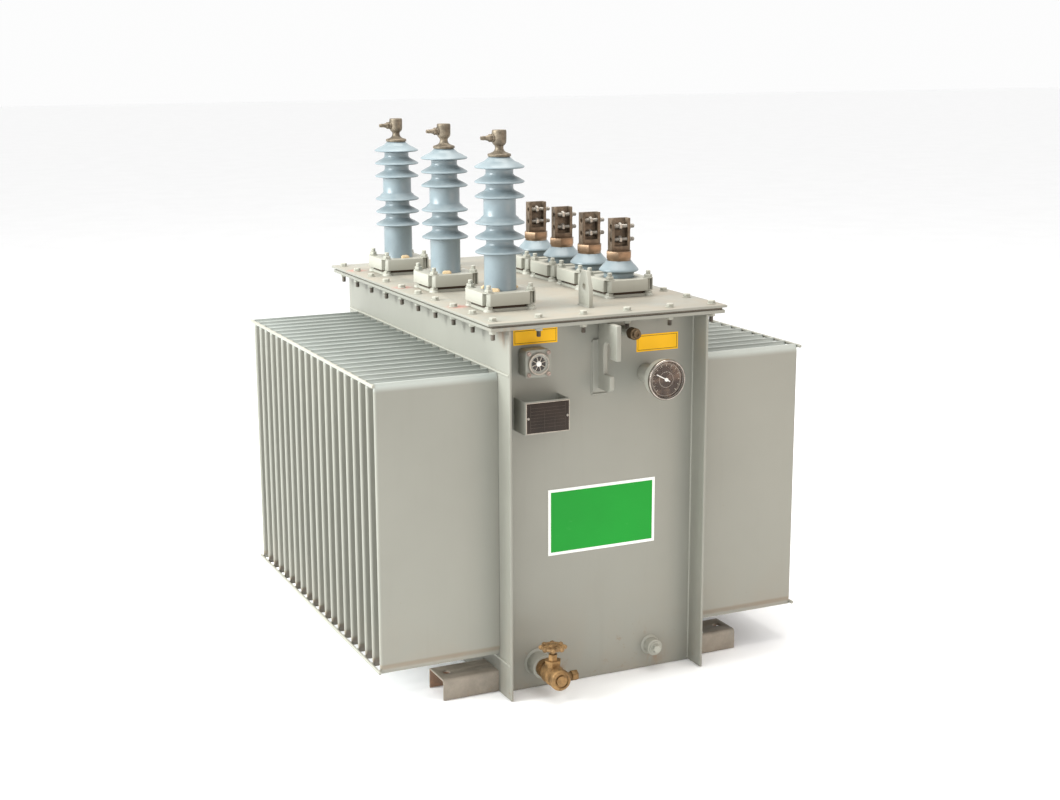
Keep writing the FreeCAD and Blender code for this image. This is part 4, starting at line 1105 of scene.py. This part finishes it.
class TRANSFORMER_OT_clamps(bpy.types.Operator):
    """Finishes the clamp frames and models their studs and packing"""

    bl_idname = "transformer.clamps"
    bl_label = "Clamp frames"

    def execute(self, context):
        for node in ("hv_clamp_frames", "lv_clamp_frames"):
            softened(node, 0.0022, "casting_enamel", segments=3)
        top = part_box("hv_clamp_frames")[1].z
        reach = sizes().stud_square / 2
        spots = []
        for node in HIGH_NODES + LOW_NODES:
            for dx in (-reach, reach):
                for dy in (-reach, reach):
                    turn = Euler((0, 0, 1.3 * len(spots)))
                    spots.append((on_cover(node) + Vector((dx, dy, 0)), turn))
        stud = self.stud(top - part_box("cover")[1].z)
        dressed(repeated("clamp_studs", stud, spots), "bolt_enamel")
        self.packing(top)
        return {"FINISHED"}

    def stud(self, top):
        """A stud from the cover, with a welded foot, a low nut, and a washer and nut on the frame."""
        s = sizes()
        across = s.stud * CORNERS
        foot = [(s.stud * 1.05, 0), (s.stud, 0.003), (s.stud * 0.8, 0.0065)]
        foot += [(s.stud / 2, 0.0075), (0, 0.0075)]
        return joined(
            "stud",
            turned("stud_foot", foot, 16, 50),
            nut(across, s.stud * 0.7, 0.003),
            rod(s.stud / 2, 0.002, top + 0.019),
            washer(s.stud * 0.98, s.washer, top),
            nut(across * 0.96, s.stud * 0.62, top + s.washer),
        )

    def packing(self, level):
        """Wedges of packing let in between the high-voltage porcelains and their frames."""
        inner, outer, half, foot, top = 0.0376, 0.0465, 0.011, -0.006, 0.0075
        wedges = []
        for number, node in enumerate(HIGH_NODES):
            axis = middle(node)
            for angle in (0.25 + 0.2 * number, 2.2 - 0.3 * number, 4.0 + 0.4 * number):
                wedge = block("wedge", (inner, -half, foot), (outer, half, top), 0.0028, 3)
                bpy.ops.object.mode_set(mode="EDIT")
                choose(wedge, "FACE", lambda face: face.normal.z > 0.6)
                bpy.ops.transform.resize(value=(0.6, 0.8, 1), center_override=(inner, 0, top))
                bpy.ops.object.mode_set(mode="OBJECT")
                wedges.append(put(wedge, (axis.x, axis.y, level), Euler((0, 0, angle))))
        dressed(joined("bushing_packing", *wedges), "packing_felt")


# Instruments


def screw(radius, height):
    """A domed screw head with a cut slot."""
    head = turned("screw", [
        (0, 0), (radius, 0), (radius, height * 0.4), (radius * 0.8, height * 0.85),
        (radius * 0.4, height), (0, height),
    ], 16, 50)
    half, width = radius * 1.2, radius * 0.14
    slot = block("slot", (-half, -width, height * 0.55), (half, width, height * 1.2))
    return smooth(carved(head, put(slot, (0, 0, 0), SLOT_TURN)), 40)


def ticks(count, inner, outer, width, height, start, sweep):
    """Radial bars between two radii, spread over an arc."""
    bar = block("tick", (inner, -width / 2, 0), (outer, width / 2, height), height * 0.3, 1)
    return repeated("ticks", bar, about_axis(spread(start, start + sweep, count)))


class TRANSFORMER_OT_level_gauge(bpy.types.Operator):
    """Models the oil level gauge: housing, bezel, dial, glass and screws"""

    bl_idname = "transformer.level_gauge"
    bl_label = "Level gauge"

    def execute(self, context):
        softened("level_gauge", 0.0018, "gauge_enamel")
        low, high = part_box("level_gauge")
        at = front_of("level_gauge")
        ring = [
            (0.0220, 0), (0.0252, 0), (0.0260, 0.0008), (0.0260, 0.0042), (0.0252, 0.0060),
            (0.0240, 0.0070), (0.0228, 0.0068), (0.0220, 0.0058), (0.0220, 0),
        ]
        bezel = turned("level_gauge_bezel_turned", ring, 56)
        fitted(bezel, at, "plate_rim", "level_gauge_bezel")
        face = [(0, 0.0005), (0.0219, 0.0005), (0.0219, 0.0016), (0.0205, 0.0020), (0, 0.0020)]
        fitted(turned("level_gauge_dial", face), at, "dial_black")
        face_top = 0.0018
        rays = raised(ticks(8, 0.0050, 0.0172, 0.0016, 0.0006, 0.3, 2 * math.pi * 7 / 8), face_top)
        rays.name = "level_gauge_rays"
        slope = [(0.0168, 0), (0.0219, 0), (0.0219, 0.0022), (0.0176, 0.0008), (0.0168, 0)]
        rim = raised(turned("level_gauge_inner_rim", slope, 40, 60), face_top)
        fitted(rim, at, "gauge_enamel")
        fitted(rays, at, "dial_ticks")
        boss = [(0, 0.0016), (0.0064, 0.0016), (0.0062, 0.0034), (0.0040, 0.0050), (0, 0.0056)]
        fitted(turned("level_gauge_boss", boss, 24, 60), at, "dial_marks")
        lens = [(0, 0.0058), (0.0219, 0.0050), (0.0219, 0.0054), (0, 0.0064)]
        fitted(turned("level_gauge_glass", lens, 40, 60), at, "gauge_glass")
        self.fixings(at, (high.x - low.x) / 2 - 0.0075)
        return {"FINISHED"}

    def fixings(self, at, reach):
        """A lug and a screw at each corner."""
        corners = [at + Vector((dx, 0, dz)) for dx in (-reach, reach) for dz in (-reach, reach)]
        lug = turned("lug", [(0, -0.004), (0.0078, -0.004), (0.0074, 0.0016), (0, 0.0016)], 20)
        lugs = repeated("level_gauge_lugs", lug, [(spot, FACING_FRONT) for spot in corners])
        dressed(lugs, "gauge_enamel")
        seats = [(spot + Vector((0, -0.0016, 0)), FACING_FRONT) for spot in corners]
        heads = repeated("level_gauge_screws", screw(0.0054, 0.0038), seats)
        dressed(heads, "screw_steel")


class TRANSFORMER_OT_rating_plate(bpy.types.Operator):
    """Models the blank rating plate on its bent bracket"""

    bl_idname = "transformer.rating_plate"
    bl_label = "Rating plate"

    def execute(self, context):
        softened("rating_plate_bracket", 0.0009, "gauge_enamel")
        overlap = Vector((0.0035, 0, 0.0025))
        low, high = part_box("rating_plate")
        low, high = low - overlap, high + overlap
        front = low.y
        plate = block("rating_plate_sheet", (low.x, front + 0.0004, low.z), (high.x, high.y, high.z), 0.0005)
        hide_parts("rating_plate")
        dressed(plate, "plate_brown")
        edges = border(low.x, high.x, low.z, high.z, 0.0016)
        rim = [upright_bar(edge, front, front + 0.0012, 0.0003) for edge in edges]
        dressed(joined("rating_plate_border", *rim), "plate_rim")
        grid = [upright_bar(line, front + 0.0002, front + 0.0008) for line in self.grid(low, high)]
        dressed(joined("rating_plate_lines", *grid), "plate_line")
        at, inset = (low + high) / 2, (high.x - low.x) / 2 - 0.0055
        spots = [(Vector((at.x + dx, front + 0.0004, at.z)), FACING_FRONT) for dx in (-inset, inset)]
        dressed(repeated("rating_plate_screws", screw(0.0030, 0.0020), spots), "bright_steel")
        return {"FINISHED"}

    def grid(self, low, high):
        """An empty table: seven rules across and four down, as left, right, bottom and top."""
        width, height, line = high.x - low.x, high.z - low.z, 0.0004
        margin = width * 0.10
        lines = []
        for row in range(1, 8):
            z = low.z + height * (0.08 + 0.84 * row / 8)
            lines.append((low.x + margin, high.x - margin, z, z + line))
        foot = low.z + height * 0.08
        for share, top in ((0.10, 0.92), (0.42, 0.71), (0.66, 0.50), (0.90, 0.92)):
            x = low.x + width * share
            lines.append((x, x + line, foot, low.z + height * top))
        return lines


class TRANSFORMER_OT_thermometer(bpy.types.Operator):
    """Models the dial thermometer: case, bezel, dial, needle and glass"""

    bl_idname = "transformer.thermometer"
    bl_label = "Dial thermometer"

    def execute(self, context):
        softened("thermometer", 0.0012, "boss_enamel")
        at = front_of("thermometer_bezel")
        # Heights are from the bezel's front edge, so they are below zero.
        ring = [
            (0.0452, -0.0090), (0.0470, -0.0090), (0.0478, -0.0080), (0.0480, -0.0040), (0.0476, -0.0018),
            (0.0464, -0.0004), (0.0450, 0), (0.0438, -0.0006), (0.0432, -0.0022), (0.0430, -0.0060),
            (0.0452, -0.0060), (0.0452, -0.0090),
        ]
        bezel = turned("thermometer_bezel_turned", ring, 72)
        fitted(bezel, at, "bezel_chrome", "thermometer_bezel")
        face = [(0, -0.0078), (0.0429, -0.0078), (0.0429, -0.0050)]
        face += [(0.0400, -0.0062), (0.0398, -0.0066), (0, -0.0066)]
        fitted(turned("thermometer_dial", face, 64), at, "dial_brown")
        fitted(raised(self.marks(), -0.0067), at, "dial_ticks")
        fitted(self.needle(), at, "dial_needle")
        lens = [(0, -0.0020), (0.0430, -0.0026), (0.0430, -0.0022), (0, -0.0012)]
        fitted(turned("thermometer_glass", lens, 56, 60), at, "gauge_glass")
        return {"FINISHED"}

    def marks(self):
        """Long and short ticks with a thin arc outside them and one nearer the middle."""
        start, sweep = math.radians(-45), math.radians(270)
        parts = [ticks(13, 0.0315, 0.0375, 0.0013, 0.0005, start, sweep)]
        parts.append(ticks(49, 0.0348, 0.0375, 0.0006, 0.0005, start, sweep))
        for inner, rise, sides in ((0.0378, 0.0004, 64), (0.0180, 0.0003, 48)):
            outer = inner + 0.0006
            arc = [(inner, 0), (outer, 0), (outer, rise), (inner, rise), (inner, 0)]
            parts.append(turned("arc", arc, sides))
        return joined("thermometer_marks", *parts)

    def needle(self):
        """A tapered pointer on a domed pin."""
        reach, rise = 0.0300, 0.0008
        pointer = block("needle", (-0.0100, -0.0011, 0), (reach, 0.0011, rise), 0.0003, 1)
        bpy.ops.object.mode_set(mode="EDIT")
        choose(pointer, "FACE", lambda face: face.normal.x > 0.9)
        bpy.ops.transform.resize(value=(1, 0.25, 1), center_override=(reach, 0, rise / 2))
        bpy.ops.object.mode_set(mode="OBJECT")
        put(pointer, (0, 0, -0.0050), Euler((0, 0, math.radians(152))))
        pin = [(0, -0.0066), (0.0042, -0.0066), (0.0040, -0.0040), (0.0022, -0.0032), (0, -0.0030)]
        return joined("thermometer_needle", pointer, turned("pin", pin, 20, 60))


class TRANSFORMER_OT_relief(bpy.types.Operator):
    """Models the knurled pressure relief plug on its stub"""

    bl_idname = "transformer.relief"
    bl_label = "Relief plug"

    def execute(self, context):
        softened("relief_stub", 0.0008, "boss_enamel")
        low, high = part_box("relief_plug")
        length, radius = high.y - low.y, (high.x - low.x) / 2
        body = turned("relief", [
            (0, 0), (radius * 0.80, 0), (radius * 0.80, 0.004), (radius * 0.93, 0.005),
            (radius * 0.93, length - 0.0105), (radius * 0.80, length - 0.009), (0.0096, length - 0.0085),
            (0.0100, length - 0.0075), (0.0100, length - 0.0015), (0.0088, length), (0.0042, length),
            (0.0040, length - 0.003), (0, length - 0.003),
        ], 40)
        rib = ((radius * 0.90, -0.0008, 0.0052), (radius * 0.995, 0.0008, length - 0.0108))
        ribs = repeated("ribs", block("rib", *rib, 0.0004, 1), about_axis(whole_turn(30)))
        plug = joined("relief_plug_knurled", body, ribs)
        fitted(plug, back_of("relief_plug"), "relief_brass", "relief_plug")
        return {"FINISHED"}


class TRANSFORMER_OT_drain_valve(bpy.types.Operator):
    """Finishes the drain valve and models its cap and lobed handwheel"""

    bl_idname = "transformer.drain_valve"
    bl_label = "Drain valve"

    def execute(self, context):
        softened("drain_valve_boss", 0.0014, "boss_enamel")
        softened("drain_valve_body", 0.0013, "valve_brass")
        softened("drain_port_plug", 0.0016, "valve_brass")
        self.cap()
        weld = [(0.027, 0), (0.0325, 0), (0.0305, 0.0026), (0.0275, 0.0050), (0.027, 0.0052), (0.027, 0)]
        collar = turned("drain_boss_weld", weld, 40, 60)
        fitted(collar, back_of("drain_valve_boss"), "boss_enamel")
        self.wheel()
        return {"FINISHED"}

    def cap(self):
        """A ribbed cap with a raised ring on its face."""
        low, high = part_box("drain_valve_cap")
        length, radius = high.y - low.y, (high.x - low.x) / 2
        body = turned("cap", [
            (0, 0), (radius - 0.002, 0), (radius, 0.002), (radius, length - 0.006),
            (radius - 0.0012, length - 0.0035), (radius - 0.0040, length - 0.0015),
            (radius - 0.0080, length - 0.0010), (radius - 0.0085, length - 0.0035),
            (radius - 0.0120, length - 0.0040), (radius - 0.0125, length - 0.0005),
            (radius - 0.0150, length), (0, length),
        ], 48)
        rib = ((radius * 0.97, -0.0016, 0.003), (radius, 0.0016, length - 0.008))
        ribs = repeated("ribs", block("rib", *rib, 0.0006, 1), about_axis(whole_turn(18)))
        cap = joined("drain_valve_cap_turned", body, ribs)
        fitted(cap, back_of("drain_valve_cap"), "valve_brass", "drain_valve_cap")

    def wheel(self):
        """A hub on the stem, eight spokes and a thin ring swollen into eight lobes."""
        low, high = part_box("drain_valve_handwheel")
        top, foot = high.z - 0.0022, high.z - 0.0138
        radius, level = (high.x - low.x) / 2, (foot + top) / 2
        hub = turned("hub", [
            (0, low.z), (0.0050, low.z), (0.0050, foot - 0.0022), (0.0088, foot - 0.0012),
            (0.0100, foot + 0.0004), (0.0104, top - 0.0030), (0.0092, top), (0.0064, top + 0.0002),
            (0.0060, top + 0.0016), (0.0045, high.z), (0, high.z),
        ], 40, 50)
        middle_radius, half = radius - 0.0078, 0.0030
        loop = [
            (middle_radius + half * math.cos(angle), level + 1.25 * half * math.sin(angle))
            for angle in spread(0, 2 * math.pi, 13)
        ]
        ring = smooth(turned("ring", loop, 64), 60)
        ends = ((0.0080, -0.0024, level - 0.0026), (middle_radius, 0.0024, level + 0.0030))
        spoke = block("spoke", *ends, 0.0014)
        arm = joined("arm", spoke, self.lobe(radius, level, (top - foot) / 2))
        arms = repeated("arms", arm, about_axis(whole_turn(8, math.pi / 8)))
        wheel = joined("drain_valve_wheel_lobed", hub, ring, arms)
        at = middle("drain_valve_handwheel")
        at.z = 0
        fitted(wheel, at, "wheel_brass", "drain_valve_handwheel", UPRIGHT, WHEEL)

    def lobe(self, reach, level, half):
        """A flattened ball whose outer side is at the reach."""
        width, depth = 0.0062, 0.0060
        pick()
        bpy.ops.mesh.primitive_uv_sphere_add(segments=16, ring_count=10, radius=1)
        ball = settle(named("lobe"))
        bpy.ops.object.mode_set(mode="EDIT")
        bpy.ops.mesh.select_all(action="SELECT")
        bpy.ops.transform.resize(value=(width, depth, half))
        choose(ball, "FACE", lambda face: face.normal.z > 0.85)
        bpy.ops.transform.resize(value=(0.8, 0.8, 1))
        bpy.ops.object.mode_set(mode="OBJECT")
        return put(smooth(ball, 60), (reach - width, 0, level))


class TRANSFORMER_OT_earthing(bpy.types.Operator):
    """Finishes the earthing boss and models its bolt"""

    bl_idname = "transformer.earthing"
    bl_label = "Earthing boss"

    def execute(self, context):
        softened("earthing_boss", 0.0016, "boss_enamel", segments=3)
        bolt = joined(
            "earthing_bolt",
            washer(0.0150, 0.0028),
            washer(0.0105, 0.0026, 0.0028),
            nut(0.0215, 0.0080, 0.0054),
            turned("cap", [(0, 0.0134), (0.0088, 0.0134), (0.0078, 0.0142), (0, 0.0144)], 24),
            rod(0.0048, -0.018, 0.004),
        )
        fitted(bolt, front_of("earthing_boss"), "bolt_enamel")
        weld = [(0.0195, 0), (0.0245, 0), (0.0230, 0.0022), (0.0200, 0.0045), (0.0195, 0.0045), (0.0195, 0)]
        collar = turned("earthing_weld", weld, 32, 60)
        fitted(collar, back_of("earthing_boss"), "boss_enamel")
        return {"FINISHED"}


class TRANSFORMER_OT_labels(bpy.types.Operator):
    """Models the blank labels and the blank panel stuck to the front wall"""

    bl_idname = "transformer.labels"
    bl_label = "Blank labels"

    def execute(self, context):
        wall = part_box("front_wall")[0].y
        self.label("yellow_label_1", (-0.220, -0.109, 0.829, 0.865), wall)
        self.label("yellow_label_2", (0.097, 0.209, 0.788, 0.829), wall)
        left, right, bottom, top = -0.133, 0.151, 0.320, 0.480
        edge = 0.007
        white = upright_bar((left, right, bottom, top), wall - 0.0006, wall, 0.0002, "panel_border")
        dressed(white, "panel_white")
        field = (left + edge, right - edge, bottom + edge, top - edge)
        green = upright_bar(field, wall - 0.0009, wall - 0.0002, name="panel_field")
        dressed(green, "panel_green")
        return {"FINISHED"}

    def label(self, name, outline, wall):
        """A yellow sheet with a thin dark border inside its edge."""
        sheet = upright_bar(outline, wall - 0.0006, wall, 0.0002, name)
        dressed(sheet, "label_yellow")
        left, right, bottom, top = outline
        inset = 0.0035
        edges = border(left + inset, right - inset, bottom + inset, top - inset, 0.0010)
        bars = [upright_bar(edge, wall - 0.0008, wall - 0.0004) for edge in edges]
        dressed(joined(name + "_border", *bars), "label_black")


# Stage


class TRANSFORMER_OT_stage(bpy.types.Operator):
    """Sets the floor, the soft lights and the camera"""

    bl_idname = "transformer.stage"
    bl_label = "Stage"

    def execute(self, context):
        scene = bpy.context.scene
        pick()
        bpy.ops.mesh.primitive_plane_add(size=80, location=(0, 0, FLOOR_LEVEL))
        floor = settle(named("floor"))
        floor.data.materials.append(self.floor_finish())
        world = bpy.data.worlds.new("studio")
        scene.world = world
        world.use_nodes = True
        background = next(n for n in world.node_tree.nodes if n.type == "BACKGROUND")
        background.inputs["Color"].default_value = (1.0, 1.0, 1.0, 1)
        background.inputs["Strength"].default_value = 0.84
        scene.view_settings.view_transform = "Standard"
        scene.view_settings.exposure = 0.22
        self.softbox("key", (-4.0, 0.3, 2.7), (0, 0.1, 0.6), 2.2, 265, (0.96, 1.0, 1.0))
        self.softbox("side", (-4.0, -2.2, 1.2), (-0.3, 0, 0.4), 2.0, 16, (1.0, 0.98, 0.95))
        self.softbox("top", (0.0, 0.0, 4.4), (0, 0, 0.9), 3.0, 150, (1.0, 0.98, 0.95))
        self.softbox("warm", (2.4, -3.6, 0.9), (0.1, 0, 0.4), 2.0, 20, (1.0, 0.70, 0.48))
        camera = bpy.data.cameras.new("camera")
        camera.lens, camera.sensor_width = 55.07, 36.0
        camera.clip_end = 60
        eye = bpy.data.objects.new("camera", camera)
        scene.collection.objects.link(eye)
        view = Matrix.Translation((-1.7116, -3.7666, 1.4928))
        for degrees, axis in ((-25.04, "Z"), (90 - 12.35, "X"), (-0.21, "Z")):
            view = view @ Matrix.Rotation(math.radians(degrees), 4, axis)
        eye.matrix_world = view
        scene.camera = eye
        return {"FINISHED"}

    def softbox(self, name, at, target, size, power, colour):
        lamp = bpy.data.lights.new(name, "AREA")
        lamp.shape, lamp.size, lamp.energy, lamp.color = "SQUARE", size, power, colour
        light = bpy.data.objects.new(name, lamp)
        bpy.context.scene.collection.objects.link(light)
        light.location = at
        light.rotation_euler = (Vector(target) - Vector(at)).to_track_quat("-Z", "Y").to_euler()

    def floor_finish(self):
        finish = Finish("studio_floor")
        grain = finish.noise(3, 3)
        finish.tone(grain.ramp(0.3, 0.7), (0.95, 0.95, 0.95), (0.97, 0.97, 0.97))
        return finish.wear(Roughness=0.6 + grain * 0.1)


class TRANSFORMER_PT_pieces(bpy.types.Panel):
    """Lists the makers and the sizes and colours that they use"""

    bl_idname = "TRANSFORMER_PT_pieces"
    bl_label = "Transformer"
    bl_space_type = "VIEW_3D"
    bl_region_type = "UI"
    bl_category = "Transformer"

    def draw(self, context):
        for group in (context.scene.transformer_sizes, context.scene.transformer_colours):
            column = self.layout.column(align=True)
            for name in group.__annotations__:
                column.prop(group, name)
        column = self.layout.column(align=True)
        for maker in MAKERS:
            column.operator(maker.bl_idname)


MAKERS = (
    TRANSFORMER_OT_tank,
    TRANSFORMER_OT_cover,
    TRANSFORMER_OT_skids,
    TRANSFORMER_OT_fins,
    TRANSFORMER_OT_lifting,
    TRANSFORMER_OT_high_voltage,
    TRANSFORMER_OT_low_voltage,
    TRANSFORMER_OT_collars,
    TRANSFORMER_OT_clamps,
    TRANSFORMER_OT_level_gauge,
    TRANSFORMER_OT_rating_plate,
    TRANSFORMER_OT_thermometer,
    TRANSFORMER_OT_relief,
    TRANSFORMER_OT_drain_valve,
    TRANSFORMER_OT_earthing,
    TRANSFORMER_OT_labels,
    TRANSFORMER_OT_stage,
)
CLASSES = (TransformerSizes, TransformerColours, *MAKERS, TRANSFORMER_PT_pieces)


def register():
    for item in CLASSES:
        bpy.utils.register_class(item)
    bpy.types.Scene.transformer_sizes = PointerProperty(type=TransformerSizes)
    bpy.types.Scene.transformer_colours = PointerProperty(type=TransformerColours)


def unregister():
    del bpy.types.Scene.transformer_colours
    del bpy.types.Scene.transformer_sizes
    for item in reversed(CLASSES):
        bpy.utils.unregister_class(item)


def main():
    register()
    for maker in MAKERS:
        group, name = maker.bl_idname.split(".")
        getattr(getattr(bpy.ops, group), name)()


if __name__ == "__main__":
    main()
